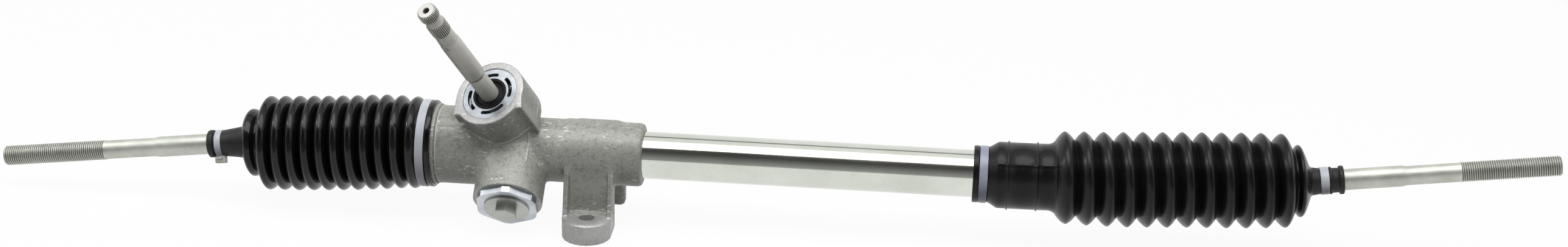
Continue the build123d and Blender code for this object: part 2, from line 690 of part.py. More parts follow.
with BuildPart() as adjuster_lock_nut:
    with BuildSketch(guide_across.offset(BOSS_FACE + PRESS_GAP)):
        RegularPolygon(LOCK_NUT_HEX / 2, 6, major_radius=False, rotation=LOCK_NUT_TURN)
        Circle(LOCK_NUT_CORNER_D / 2, mode=Mode.INTERSECT)
        Circle(PLUG_D / 2 + RUNNING_GAP, mode=Mode.SUBTRACT)
    extrude(amount=LOCK_NUT_THICKNESS)
write(adjuster_lock_nut, "adjuster_lock_nut")


# Pieces that the left and right ends share
def boot_plane(end, along):
    """The plane across the boot at a distance outward from the ball: level at first, on the rod from the neck."""
    share = min(max((along - end["first"]) / (end["neck"] - end["first"]), 0), 1)
    eased = share**2 * (3 - 2 * share)
    bend = radians(end["rise_angle"])
    out = along * (1 + eased * (cos(bend) - 1))
    up = max(along, end["neck"]) * sin(bend) * eased
    centre = (end["ball_x"] + end["way"] * out, 0, RACK_HEIGHT + up)
    return Plane(origin=centre, x_dir=(0, 1, 0), z_dir=(end["way"] * cos(bend * share), 0, sin(bend * share)))


def boot_loft(end, outline, mode=Mode.ADD):
    """A skin of straight walled rings through (distance outward, radius) points."""
    rings = []
    for along, radius in outline:
        with BuildSketch(boot_plane(end, along)) as section:
            Circle(radius)
        rings.append(section.sketch)
    loft(rings, ruled=True, mode=mode)


def pleats(first, last, count, crest_r, valley_r, crest_share):
    """Flat topped crests and the valleys between them, from the large end outward."""
    pitch = (last - first) / (count - 1)
    half_top = pitch * crest_share / 2
    points = []
    for crest in range(count):
        top = first + crest * pitch
        points += [(top - half_top, crest_r), (top + half_top, crest_r), (top + pitch / 2, valley_r)]
    return points[:-1]


def band(end, start, width, inner_r, head_angle):
    """A nylon tie round a boot end, with its square lock head."""
    with BuildSketch(boot_plane(end, start)) as section:
        Circle(inner_r + BAND_WALL)
        with PolarLocations(inner_r + BAND_HEAD / 2, 1, start_angle=head_angle):
            Rectangle(BAND_HEAD, BAND_HEAD)
        Circle(inner_r, mode=Mode.SUBTRACT)
    extrude(section.sketch, amount=width)


rod_r = ROD_SHANK_D / 2
boot_bore_r = rod_r + BOOT_GAP
left_lip = LEFT_BALL_X - (DRUM_RIM_X - DRUM_RIM_WIDTH - BOOT_GAP)
left_first = left_lip + LEFT_BOOT_LIP_LENGTH + BOOT_WALL
left_neck = LEFT_BOOT_SMALL_END - LEFT_BOOT_NECK_LENGTH
left_seat_r = drum_r + RUNNING_GAP
right_lip = RIGHT_BOOT_LIP_X - RIGHT_BALL_X
right_sleeve = right_lip + RIGHT_BOOT_LIP_LENGTH + RIGHT_SLEEVE_CONE
right_first = right_sleeve + RIGHT_SLEEVE_LENGTH + RIGHT_SLEEVE_CONE
right_neck = RIGHT_BOOT_SMALL_END - RIGHT_BOOT_NECK_LENGTH
right_seat_r = TUBE_D / 2 + RUNNING_GAP

sides = {
    "left": dict(
        ball_x=LEFT_BALL_X,
        way=-1,
        rise_angle=LEFT_ROD_RISE,
        lip=left_lip,
        first=left_first,
        seat_r=left_seat_r,
        lip_points=[(left_lip, 0), (left_lip + LEFT_BOOT_LIP_LENGTH, 0)],
        pleat_points=pleats(
            left_first,
            left_neck - LEFT_BOOT_LAST_CREST_INSET,
            LEFT_BOOT_CREST_COUNT,
            LEFT_BOOT_CREST_R,
            LEFT_BOOT_VALLEY_R,
            LEFT_BOOT_CREST_SHARE,
        ),
        end_crest=left_neck - LEFT_BOOT_END_CREST_INSET,
        end_crest_r=LEFT_BOOT_END_CREST_R,
        neck=left_neck,
        neck_r=LEFT_BOOT_NECK_R,
        neck_tip_r=LEFT_BOOT_NECK_TIP_R,
        band_seat_r=LEFT_BOOT_BAND_SEAT_R,
        rod_end=ROD_THREAD_START + LEFT_THREAD_LENGTH,
        small_end=LEFT_BOOT_SMALL_END,
        large_band=LEFT_LARGE_BAND_WIDTH,
        large_band_inset=LEFT_LARGE_BAND_INSET,
        small_band=LEFT_SMALL_BAND_WIDTH,
        small_band_inset=LEFT_SMALL_BAND_INSET,
        heads=(0, 115),
    ),
    "right": dict(
        ball_x=RIGHT_BALL_X,
        way=1,
        rise_angle=RIGHT_ROD_RISE,
        lip=right_lip,
        first=right_first,
        seat_r=right_seat_r,
        lip_points=[(right_lip, 0), (right_lip + RIGHT_BOOT_LIP_LENGTH, 0)],
        pleat_points=[
            (right_sleeve, RIGHT_SLEEVE_R),
            (right_sleeve + RIGHT_SLEEVE_LENGTH, RIGHT_SLEEVE_R),
        ] + pleats(
            right_first,
            right_neck - RIGHT_BOOT_LAST_CREST_INSET,
            RIGHT_BOOT_CREST_COUNT,
            RIGHT_BOOT_CREST_R,
            RIGHT_BOOT_VALLEY_R,
            RIGHT_BOOT_CREST_SHARE,
        ),
        end_crest=right_neck - RIGHT_BOOT_END_CREST_INSET,
        end_crest_r=RIGHT_BOOT_END_CREST_R,
        neck=right_neck,
        neck_r=RIGHT_BOOT_NECK_R,
        neck_tip_r=RIGHT_BOOT_NECK_TIP_R,
        band_seat_r=RIGHT_BOOT_BAND_SEAT_R,
        rod_end=ROD_THREAD_START + RIGHT_THREAD_LENGTH,
        small_end=RIGHT_BOOT_SMALL_END,
        large_band=RIGHT_LARGE_BAND_WIDTH,
        large_band_inset=RIGHT_LARGE_BAND_INSET,
        small_band=RIGHT_SMALL_BAND_WIDTH,
        small_band_inset=RIGHT_SMALL_BAND_INSET,
        heads=(0, 0),
    ),
}

for side, end in sides.items():
    ball_x = end["ball_x"]
    way = end["way"]
    turned = radians(end["rise_angle"])
    socket_side = Plane(origin=(ball_x, 0, RACK_HEIGHT), x_dir=(way, 0, 0), z_dir=(0, 1, 0))
    rod_dir = (way * cos(turned), 0, sin(turned))
    rod_side = Plane(origin=(ball_x, 0, RACK_HEIGHT), x_dir=rod_dir, z_dir=(0, 1, 0))

    # Lock washer between rack and socket
    with BuildPart() as lock_washer:
        ring(
            socket_side,
            -SOCKET_BACK - WASHER_THICKNESS + PRESS_GAP,
            -SOCKET_BACK - PRESS_GAP,
            STUD_D / 2 + RUNNING_GAP,
            WASHER_D / 2,
        )
    write(lock_washer, f"{side}_lock_washer")

    # Socket that screws into the rack and holds the ball
    with BuildPart() as inner_socket:
        turn(socket_side, [
            (-SOCKET_BACK - WASHER_THICKNESS - STUD_LENGTH, 0),
            (-SOCKET_BACK - WASHER_THICKNESS - STUD_LENGTH, STUD_D / 2),
            (-SOCKET_BACK, STUD_D / 2),
            (-SOCKET_BACK, SOCKET_R),
            (SOCKET_MOUTH - EDGE_CHAMFER, SOCKET_R),
            (SOCKET_MOUTH, SOCKET_R - EDGE_CHAMFER),
            (SOCKET_MOUTH, 0),
        ])
        with Locations((ball_x, 0, RACK_HEIGHT)):
            Sphere(seat_r + RUNNING_GAP, mode=Mode.SUBTRACT)
    write(inner_socket, f"{side}_inner_socket")

    # Plastic seat shell round the ball
    with BuildPart() as ball_seat:
        turn(rod_side, [
            (-SEAT_BACK, 0),
            (SEAT_FRONT, 0),
            (SEAT_FRONT, SOCKET_R),
            (-SEAT_BACK, SOCKET_R),
        ])
        with Locations((ball_x, 0, RACK_HEIGHT)):
            Sphere(seat_r, mode=Mode.INTERSECT)
            Sphere(BALL_R + RUNNING_GAP, mode=Mode.SUBTRACT)
    write(ball_seat, f"{side}_ball_seat")

    # Tie rod with its ball, stepped shank and thread
    rod_end = end["rod_end"]
    with BuildPart() as tie_rod:
        with Locations((ball_x, 0, RACK_HEIGHT)):
            Sphere(BALL_R)
        turn(rod_side, [
            (0, 0),
            (0, ROD_NECK_D / 2),
            (ROD_NECK_END, ROD_NECK_D / 2),
            (ROD_NECK_END + ROD_TAPER, rod_r),
            (ROD_SHANK_END, rod_r),
            (ROD_SHANK_END + ROD_TAPER, ROD_WAIST_D / 2),
            (ROD_THREAD_START - EDGE_CHAMFER, ROD_WAIST_D / 2),
            (ROD_THREAD_START, ROD_THREAD_D / 2),
            (rod_end - EDGE_CHAMFER, ROD_THREAD_D / 2),
            (rod_end, ROD_THREAD_D / 2 - EDGE_CHAMFER),
            (rod_end, 0),
        ])
    write(tie_rod, f"{side}_tie_rod")

    # Pleated rubber boot, a thin wall that bends from the rack's line to the rod's
    seat_r_here = end["seat_r"]
    lip_r = seat_r_here + BOOT_LIP_WALL
    last_crest = end["pleat_points"][-1][0]
    end_crest = end["end_crest"]
    end_valley = (last_crest + end_crest) / 2
    neck_start = end["neck"]
    small_end = end["small_end"]
    small_band_end = small_end - end["small_band_inset"]
    small_band_start = small_band_end - end["small_band"]
    bead_start = small_end - BOOT_BEAD_LENGTH
    band_seat_r = end["band_seat_r"]
    tail_points = [
        (end_valley, end["end_crest_r"] - BOOT_WALL),
        (end_crest, end["end_crest_r"]),
        (neck_start, end["neck_r"]),
        (small_band_start - BOOT_GAP, end["neck_tip_r"]),
        (small_band_start, band_seat_r),
        (bead_start, band_seat_r),
        (bead_start + BOOT_GAP, BOOT_BEAD_R),
        (small_end, BOOT_BEAD_R),
    ]
    lip_points = end["lip_points"]
    outline = [(along, lip_r) for along, _ in lip_points] + end["pleat_points"] + tail_points
    bore = [(lip_points[0][0] - BOOT_WALL, seat_r_here), (lip_points[1][0], seat_r_here)]
    bore += [(along, radius - BOOT_WALL) for along, radius in end["pleat_points"] + tail_points[:2]]
    bore += [(neck_start - BOOT_WALL / 2, boot_bore_r), (small_end + BOOT_WALL, boot_bore_r)]
    with BuildPart() as boot:
        boot_loft(end, outline)
        boot_loft(end, bore, Mode.SUBTRACT)
    write(boot, f"{side}_boot")

    # Bands on both ends of the boot
    with BuildPart() as large_band:
        band_start = end["lip"] + end["large_band_inset"]
        band(end, band_start, end["large_band"], lip_r + RUNNING_GAP, end["heads"][0])
    write(large_band, f"{side}_boot_large_band")
    with BuildPart() as small_band:
        band(end, small_band_start, end["small_band"], band_seat_r + RUNNING_GAP, end["heads"][1])
    write(small_band, f"{side}_boot_small_band")
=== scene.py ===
import json
import math

import bmesh
import bpy
import numpy as np
from mathutils import Matrix, Vector

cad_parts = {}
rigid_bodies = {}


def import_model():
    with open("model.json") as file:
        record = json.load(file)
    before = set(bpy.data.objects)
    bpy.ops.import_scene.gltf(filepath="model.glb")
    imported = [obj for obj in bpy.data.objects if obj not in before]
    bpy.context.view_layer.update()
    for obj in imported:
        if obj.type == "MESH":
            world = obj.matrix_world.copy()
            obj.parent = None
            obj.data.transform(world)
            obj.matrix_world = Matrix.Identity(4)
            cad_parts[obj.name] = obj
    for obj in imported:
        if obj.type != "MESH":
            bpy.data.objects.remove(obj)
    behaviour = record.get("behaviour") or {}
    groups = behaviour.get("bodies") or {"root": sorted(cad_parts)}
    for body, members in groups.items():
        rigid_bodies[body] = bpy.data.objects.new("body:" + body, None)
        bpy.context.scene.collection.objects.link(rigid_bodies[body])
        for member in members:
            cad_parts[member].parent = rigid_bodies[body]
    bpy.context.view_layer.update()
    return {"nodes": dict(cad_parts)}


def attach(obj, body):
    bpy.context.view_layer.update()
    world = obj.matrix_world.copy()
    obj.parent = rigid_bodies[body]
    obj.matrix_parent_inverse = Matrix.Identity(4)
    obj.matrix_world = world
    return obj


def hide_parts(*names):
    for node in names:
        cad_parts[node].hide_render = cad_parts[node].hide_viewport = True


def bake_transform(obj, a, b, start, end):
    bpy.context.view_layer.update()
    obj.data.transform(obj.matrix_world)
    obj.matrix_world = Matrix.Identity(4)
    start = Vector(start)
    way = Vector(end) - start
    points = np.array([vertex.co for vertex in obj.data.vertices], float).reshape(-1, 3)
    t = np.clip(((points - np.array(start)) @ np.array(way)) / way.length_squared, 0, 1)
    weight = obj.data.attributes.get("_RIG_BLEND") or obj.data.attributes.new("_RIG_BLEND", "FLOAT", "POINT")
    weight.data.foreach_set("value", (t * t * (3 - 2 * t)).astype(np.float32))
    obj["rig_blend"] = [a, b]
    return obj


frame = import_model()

MM = 0.001
WELD = 2e-6
AXIS_Z = 50.0
RACK_WAY = Vector((1, 0, 0))
SHAFT_FOOT = Vector((-55.0, 11.02705, 58.12984))
SHAFT_WAY = Vector((-0.2923717, -0.5674893, 0.7697238)).normalized()
GUIDE_FOOT = Vector((-55.0, 0.0, 50.0))
GUIDE_WAY = Vector((0.0, -0.8048938, -0.5934189)).normalized()
TOWER_TOP = 50.8
BOSS_FACE = 43.8

scene = bpy.context.scene
scene.view_settings.view_transform = "Standard"


# Small helpers

def show(name, mesh, material=None):
    piece = bpy.data.objects.new(name, mesh)
    scene.collection.objects.link(piece)
    if material:
        # Clearing also sets every face to the first material, so only where there is one to clear
        if len(mesh.materials):
            mesh.materials.clear()
        mesh.materials.append(material)
    return piece


def smooth(mesh, sharp_angle=None):
    mesh.polygons.foreach_set("use_smooth", [True] * len(mesh.polygons))
    if sharp_angle:
        mesh.set_sharp_from_angle(angle=math.radians(sharp_angle))
    mesh.update()


def opened(mesh):
    """An edit mesh that holds a mesh."""
    shape = bmesh.new()
    shape.from_mesh(mesh)
    return shape


def written(shape, target):
    """Writes an edit mesh to a mesh, or to a new one of that name, and frees it."""
    mesh = bpy.data.meshes.new(target) if isinstance(target, str) else target
    shape.to_mesh(mesh)
    shape.free()
    return mesh


def baked(carrier):
    """An object's evaluated shape as a plain mesh; the object and its modifiers go."""
    ready = carrier.evaluated_get(bpy.context.evaluated_depsgraph_get())
    mesh = bpy.data.meshes.new_from_object(ready)
    carrier.modifiers.clear()
    bpy.data.objects.remove(carrier)
    return mesh


def read(items, name, width, kind=np.int64):
    """One property of a mesh's vertices, edges, loops or faces, one row each."""
    flat = np.empty(len(items) * width, kind)
    items.foreach_get(name, flat)
    return flat.reshape(-1, width)


def points_of(mesh):
    """A mesh's points in millimetres."""
    return read(mesh.vertices, "co", 3, float) / MM


def merged_copy(node):
    """A CAD node's mesh with its loose triangles joined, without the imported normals."""
    shape = opened(frame["nodes"][node].data)
    bmesh.ops.remove_doubles(shape, verts=shape.verts, dist=WELD)
    mesh = written(shape, node + "_copy")
    for layer in ("custom_normal", "sharp_face", "sharp_edge"):
        if layer in mesh.attributes:
            mesh.attributes.remove(mesh.attributes[layer])
    return mesh


def along(foot, way):
    """The matrix that lays a mesh made along +X, in metres, on a line given in millimetres."""
    turn = RACK_WAY.rotation_difference(way).to_matrix().to_4x4()
    return Matrix.Translation(foot * MM) @ turn


def feed(links, source, socket):
    """Links an output to a socket, or sets the socket's own value."""
    if hasattr(source, "is_output"):
        links.new(source, socket)
    else:
        socket.default_value = source


class NodeTree:
    """Builds a geometry node tree with named inputs."""

    def __init__(self, name):
        self.tree = bpy.data.node_groups.new(name, "GeometryNodeTree")
        self.tree.interface.new_socket("Geometry", in_out="OUTPUT", socket_type="NodeSocketGeometry")
        self.ids = {}
        self.start = self.tree.nodes.new("NodeGroupInput")
        self.end = self.tree.nodes.new("NodeGroupOutput")

    def value(self, name, kind="Float"):
        socket = self.tree.interface.new_socket(name, in_out="INPUT", socket_type="NodeSocket" + kind)
        self.ids[name] = socket.identifier
        return next(s for s in self.start.outputs if s.identifier == socket.identifier)

    def node(self, kind, inputs=None, **settings):
        made = self.tree.nodes.new(kind)
        for key, setting in settings.items():
            setattr(made, key, setting)
        for key, source in (inputs or {}).items():
            self.join(source, made.inputs[key])
        return made

    def join(self, source, socket):
        feed(self.tree.links, source, socket)

    def math(self, operation, first, second=0.0, third=0.0):
        made = self.node("ShaderNodeMath", operation=operation)
        for socket, source in zip(made.inputs, (first, second, third)):
            self.join(source, socket)
        return made.outputs[0]

    def attribute(self, name):
        return self.node("GeometryNodeInputNamedAttribute", {"Name": name}, data_type="FLOAT").outputs["Attribute"]

    def finish(self, geometry, material):
        painted = self.node("GeometryNodeSetMaterial", {"Geometry": geometry, "Material": material})
        solid = self.node("GeometryNodeRealizeInstances", {"Geometry": painted.outputs["Geometry"]})
        self.join(solid.outputs["Geometry"], self.end.inputs[0])

    def make(self, name, base, **values):
        """The evaluated result as a plain mesh."""
        carrier = bpy.data.objects.new(name, base or bpy.data.meshes.new(name))
        scene.collection.objects.link(carrier)
        modifier = carrier.modifiers.new(name, "NODES")
        modifier.node_group = self.tree
        for key, setting in values.items():
            modifier[self.ids[key.replace("_", " ")]] = setting
        bpy.context.view_layer.update()
        return baked(carrier)


# Materials

class ShaderTree:
    """Node helpers shared by the finishes, the floor, the world and the card."""

    def __init__(self, owner):
        owner.use_nodes = True
        self.nodes, self.links = owner.node_tree.nodes, owner.node_tree.links

    def node(self, kind, **inputs):
        made = self.nodes.new("ShaderNode" + kind)
        for key, source in inputs.items():
            feed(self.links, source, made.inputs[key.replace("_", " ")])
        return made

    def math(self, operation, first, second):
        made = self.node("Math")
        made.operation = operation
        feed(self.links, first, made.inputs[0])
        feed(self.links, second, made.inputs[1])
        return made.outputs[0]

    def span(self, source, low, high, start=0.3, stop=0.7):
        made = self.node("MapRange", Value=source, From_Min=start, From_Max=stop, To_Min=low, To_Max=high)
        return made.outputs["Result"]

    def mix(self, share, first, second):
        """Goes from the first colour to the second, each an output or a plain colour."""
        made = self.node("Mix")
        made.data_type = "RGBA"
        self.links.new(share, made.inputs[0])
        for number, source in ((6, first), (7, second)):
            feed(self.links, (*source, 1) if isinstance(source, tuple) else source, made.inputs[number])
        return made.outputs[2]

    def seen_or_mirrored(self):
        """1 for what the camera sees directly, in a mirror or through glass."""
        path = self.node("LightPath").outputs
        straight_or_glossy = self.math("MAXIMUM", path["Is Camera Ray"], path["Is Glossy Ray"])
        return self.math("MAXIMUM", straight_or_glossy, path["Is Transmission Ray"])


class Finish(ShaderTree):
    """A principled material read from Object coordinates."""

    def __init__(self, name, metallic, roughness, colour):
        self.material = bpy.data.materials.new(name)
        super().__init__(self.material)
        self.shader = self.nodes["Principled BSDF"]
        self.to("Metallic", metallic)
        self.to("Roughness", roughness)
        self.to("Base Color", (*colour, 1))
        self.place = self.node("TexCoord").outputs["Object"]

    def mapped(self, scale, turn=(0, 0, 0)):
        return self.node("Mapping", Scale=scale, Rotation=turn, Vector=self.place).outputs["Vector"]

    def noise(self, scale, detail, rough=0.55, place=None):
        place = place or self.place
        return self.node("TexNoise", Scale=scale, Detail=detail, Roughness=rough, Vector=place).outputs["Fac"]

    def ramp(self, source, stops):
        made = self.node("ValToRGB", Fac=source)
        band = made.color_ramp
        while len(band.elements) < len(stops):
            band.elements.new(0.5)
        for element, (position, colour) in zip(band.elements, stops):
            element.position = position
            element.color = (*colour, 1)
        return made.outputs["Color"]

    def bump(self, height, strength, distance):
        """A bump on top of those that are there already."""
        made = self.node("Bump", Strength=strength, Distance=distance, Height=height)
        last = self.shader.inputs["Normal"]
        if last.is_linked:
            self.links.new(last.links[0].from_socket, made.inputs["Normal"])
        self.links.new(made.outputs["Normal"], last)

    def attribute(self, name):
        made = self.node("Attribute")
        made.attribute_name = name
        return made.outputs["Fac"]

    def shade_in_grooves(self, colour, dark):
        """Painted shade in thread grooves, between spline teeth, in the centre hole and at the shaft's step."""
        return self.mix(self.span(self.attribute("groove"), 0.0, 0.9, 0.2, 0.9), colour, dark)

    def to(self, socket, source):
        feed(self.links, source, self.shader.inputs[socket])


def cast_aluminium():
    skin = Finish("sand_cast_aluminium", 0.14, 0.5, (0.36, 0.365, 0.33))
    cloud = skin.noise(30, 4, 0.6)
    mottle = skin.noise(330, 3, 0.6)
    grain = skin.noise(900, 2, 0.6)
    stain = skin.noise(14, 5, 0.62)
    base = skin.ramp(cloud, [(0.3, (0.30, 0.305, 0.272)), (0.55, (0.365, 0.37, 0.335)), (0.75, (0.43, 0.435, 0.395))])
    aged = skin.mix(skin.span(stain, 0.0, 0.55, 0.5, 0.7), base, (0.235, 0.236, 0.205))
    pitted = skin.mix(skin.span(mottle, 0.55, 0.0, 0.32, 0.5), aged, (0.17, 0.17, 0.15))
    speck = skin.mix(skin.span(grain, 0.0, 0.55, 0.52, 0.75), pitted, (0.62, 0.63, 0.60))
    cluster = skin.span(skin.noise(26, 3, 0.6), 0.0, 1.0, 0.46, 0.62)
    scuffed = speck
    for turn in ((0.3, 0.5, 0.4), (0.2, -0.4, 1.3), (1.0, 0.2, -0.7)):
        streak = skin.span(skin.noise(380, 1, 0.5, skin.mapped((0.4, 1.0, 1.0), turn)), 0.0, 1.0, 0.66, 0.72)
        scuffed = skin.mix(skin.math("MULTIPLY", streak, cluster), scuffed, (0.76, 0.76, 0.74))
    worn = skin.mix(skin.attribute("worn_edge"), scuffed, (0.74, 0.745, 0.72))
    skin.to("Base Color", worn)
    skin.to("Roughness", skin.span(cloud, 0.36, 0.5))
    skin.bump(grain, 0.4, 0.0002)
    skin.bump(mottle, 0.4, 0.0005)
    return skin.material


def machined_aluminium():
    skin = Finish("machined_aluminium", 0.45, 0.42, (0.5, 0.49, 0.475))
    cloud = skin.noise(60, 3)
    lathe_mark = skin.noise(500, 2, 0.5)
    base = skin.ramp(cloud, [(0.3, (0.38, 0.385, 0.375)), (0.7, (0.53, 0.535, 0.525))])
    skin.to("Base Color", skin.mix(skin.span(lathe_mark, 0.0, 0.5, 0.5, 0.75), base, (0.68, 0.67, 0.66)))
    skin.to("Roughness", skin.span(skin.noise(420, 2), 0.36, 0.5))
    skin.bump(skin.noise(700, 2), 0.12, 0.0002)
    return skin.material


def zinc(name, light, dark, rough, patch, grain, strength, metallic=1.0, groove_shade=None):
    """Plated steel: cloudy colour, cloudy gloss and a fine grain."""
    skin = Finish(name, metallic, rough[0], light)
    cloud = skin.noise(patch, 4, 0.6)
    colour = skin.ramp(cloud, [(0.32, dark), (0.62, light)])
    skin.to("Base Color", skin.shade_in_grooves(colour, groove_shade) if groove_shade else colour)
    skin.to("Roughness", skin.span(skin.noise(patch * 2.3, 4, 0.6), rough[0], rough[1]))
    skin.bump(skin.noise(grain, 2), strength, 0.0002)
    return skin.material


def drawn_tube():
    skin = Finish("bright_drawn_tube", 1.0, 0.10, (0.66, 0.68, 0.62))
    streak = skin.noise(40, 4, 0.65, skin.mapped((0.12, 1.0, 1.0)))
    cloud = skin.noise(24, 5, 0.7)
    skin.to("Base Color", skin.ramp(cloud, [(0.3, (0.60, 0.625, 0.56)), (0.62, (0.70, 0.72, 0.66))]))
    skin.to("Roughness", skin.span(streak, 0.07, 0.17))
    skin.bump(skin.noise(55, 3, 0.6, skin.mapped((0.35, 1.0, 1.0))), 0.06, 0.0006)
    return skin.material


def turned_steel(name, light, dark, rough, way, metallic=1.0, groove_shade=None):
    """Ground bar: fine rings square to its own axis."""
    skin = Finish(name, metallic, rough[0], light)
    turn = way.rotation_difference(RACK_WAY).to_euler()
    ring = skin.noise(900, 2, 0.6, skin.mapped((1.0, 0.03, 0.03), turn))
    cloud = skin.noise(70, 4, 0.6)
    colour = skin.ramp(cloud, [(0.32, dark), (0.66, light)])
    skin.to("Base Color", skin.shade_in_grooves(colour, groove_shade) if groove_shade else colour)
    skin.to("Roughness", skin.span(ring, rough[0], rough[1]))
    skin.bump(ring, 0.10, 0.0002)
    return skin.material


def rubber(name, colour, dust, rough, gloss, grain):
    skin = Finish(name, 0.0, rough[0], colour)
    cloud = skin.noise(46, 4, 0.6)
    skin.to("Base Color", skin.ramp(cloud, [(0.35, colour), (0.8, dust)]))
    skin.to("Roughness", skin.span(skin.noise(140, 4, 0.6), rough[0], rough[1]))
    skin.bump(skin.noise(1500, 2), grain, 0.0002)
    skin.bump(skin.noise(120, 3), 0.10, 0.0005)
    skin.to("Specular IOR Level", gloss)
    return skin.material


def tie_nylon(name, colour, cloudy, clear=0.0):
    skin = Finish(name, 0.0, 0.32, colour)
    skin.to("Transmission Weight", clear)
    cloud = skin.noise(120, 3)
    skin.to("Base Color", skin.ramp(cloud, [(0.3, cloudy), (0.7, colour)]))
    skin.to("Roughness", skin.span(skin.noise(300, 2), 0.26, 0.42))
    skin.bump(skin.noise(700, 2), 0.08, 0.0002)
    return skin.material


CAST = cast_aluminium()
MACHINED = machined_aluminium()
TUBE = drawn_tube()
# The rod's last colour is painted shade in the thread grooves
ROD = zinc("satin_rod_zinc", (0.60, 0.615, 0.56), (0.50, 0.51, 0.465), (0.46, 0.58), 60, 900, 0.25,
           groove_shade=(0.25, 0.255, 0.235))
PLATE = zinc("blue_bright_zinc", (0.60, 0.63, 0.655), (0.38, 0.41, 0.445), (0.26, 0.38), 60, 800, 0.04)
PLUG = zinc("pale_plug_zinc", (0.45, 0.465, 0.43), (0.37, 0.385, 0.355), (0.24, 0.38), 80, 800, 0.12)
RETAINER = zinc("dull_plate_zinc", (0.44, 0.465, 0.49), (0.25, 0.275, 0.30), (0.30, 0.42), 60, 800, 0.12)
# The shaft's last colour is painted shade between the spline teeth, in the centre hole and at its step
SHAFT = turned_steel("ground_shaft_steel", (0.74, 0.73, 0.68), (0.61, 0.60, 0.56), (0.34, 0.46), SHAFT_WAY,
                     metallic=0.2, groove_shade=(0.12, 0.117, 0.108))
BEARING = turned_steel("bearing_steel", (0.74, 0.74, 0.73), (0.62, 0.62, 0.61), (0.14, 0.24), SHAFT_WAY)
RACK = turned_steel("ground_rack_steel", (0.68, 0.68, 0.66), (0.54, 0.54, 0.52), (0.18, 0.30), RACK_WAY)
SPRING = zinc("blued_spring_steel", (0.34, 0.34, 0.36), (0.24, 0.24, 0.26), (0.28, 0.42), 90, 900, 0.15)
SOCKET = zinc("phosphated_socket_steel", (0.30, 0.30, 0.29), (0.20, 0.20, 0.195), (0.40, 0.58), 70, 700, 0.25,
              metallic=0.9)
GUIDE = zinc("guide_die_metal", (0.60, 0.60, 0.58), (0.48, 0.48, 0.46), (0.34, 0.48), 70, 800, 0.2)
BRONZE = zinc("bush_bronze", (0.62, 0.44, 0.24), (0.48, 0.33, 0.17), (0.26, 0.42), 90, 800, 0.15)
LINER = tie_nylon("liner_polymer", (0.52, 0.49, 0.42), (0.44, 0.41, 0.35))
BAND = tie_nylon("band_nylon", (0.62, 0.635, 0.70), (0.54, 0.555, 0.615))
# A darker, bluer copy of the band nylon for the right large band: painted shade
SHADED_BAND = tie_nylon("shaded_band_nylon", (0.40, 0.42, 0.52), (0.29, 0.305, 0.40))
TIE_HEAD = tie_nylon("tie_head_nylon", (0.86, 0.83, 0.75), (0.78, 0.75, 0.67), clear=0.5)
LEFT_RUBBER = rubber("glossy_boot_rubber", (0.003, 0.003, 0.0035), (0.007, 0.007, 0.0075), (0.14, 0.20), 0.32, 0.04)
RIGHT_RUBBER = rubber("satin_boot_rubber", (0.004, 0.004, 0.0045), (0.009, 0.009, 0.0095), (0.22, 0.32), 0.24, 0.08)
NECK_RUBBER = rubber("dull_neck_rubber", (0.010, 0.010, 0.0105), (0.022, 0.022, 0.0225), (0.42, 0.58), 0.35, 0.20)
SEAL = rubber("seal_rubber", (0.005, 0.005, 0.0055), (0.010, 0.010, 0.0105), (0.42, 0.56), 0.12, 0.10)

NODE_FINISH = {
    "adjuster_lock_nut": PLATE, "adjuster_plug": PLUG, "housing": CAST, "left_ball_seat": LINER,
    "right_ball_seat": LINER, "left_boot": LEFT_RUBBER, "right_boot": RIGHT_RUBBER,
    "left_boot_large_band": BAND, "left_boot_small_band": BAND, "right_boot_large_band": BAND,
    "right_boot_small_band": BAND, "left_inner_socket": SOCKET, "right_inner_socket": SOCKET,
    "left_lock_washer": SPRING, "right_lock_washer": SPRING, "left_tie_rod": ROD, "right_tie_rod": ROD,
    "pinion_bearing_balls": BEARING, "pinion_bearing_inner_race": BEARING, "pinion_bearing_outer_race": BEARING,
    "pinion_circlip": SPRING, "pinion_lower_bush": BRONZE, "pinion_oil_seal": SEAL, "pinion_shaft": SHAFT,
    "rack_bar": RACK, "rack_bush": LINER, "rack_guide": GUIDE, "rack_guide_liner": LINER,
    "rack_guide_o_ring": SEAL, "rack_guide_spring": SPRING, "rack_tube": TUBE, "seal_retainer_plate": RETAINER,
}
for node_name, node_object in frame["nodes"].items():
    node_object.data.materials.clear()
    node_object.data.materials.append(NODE_FINISH[node_name])


# Rubber boots: a straight bellows by rule, then laid along its rod

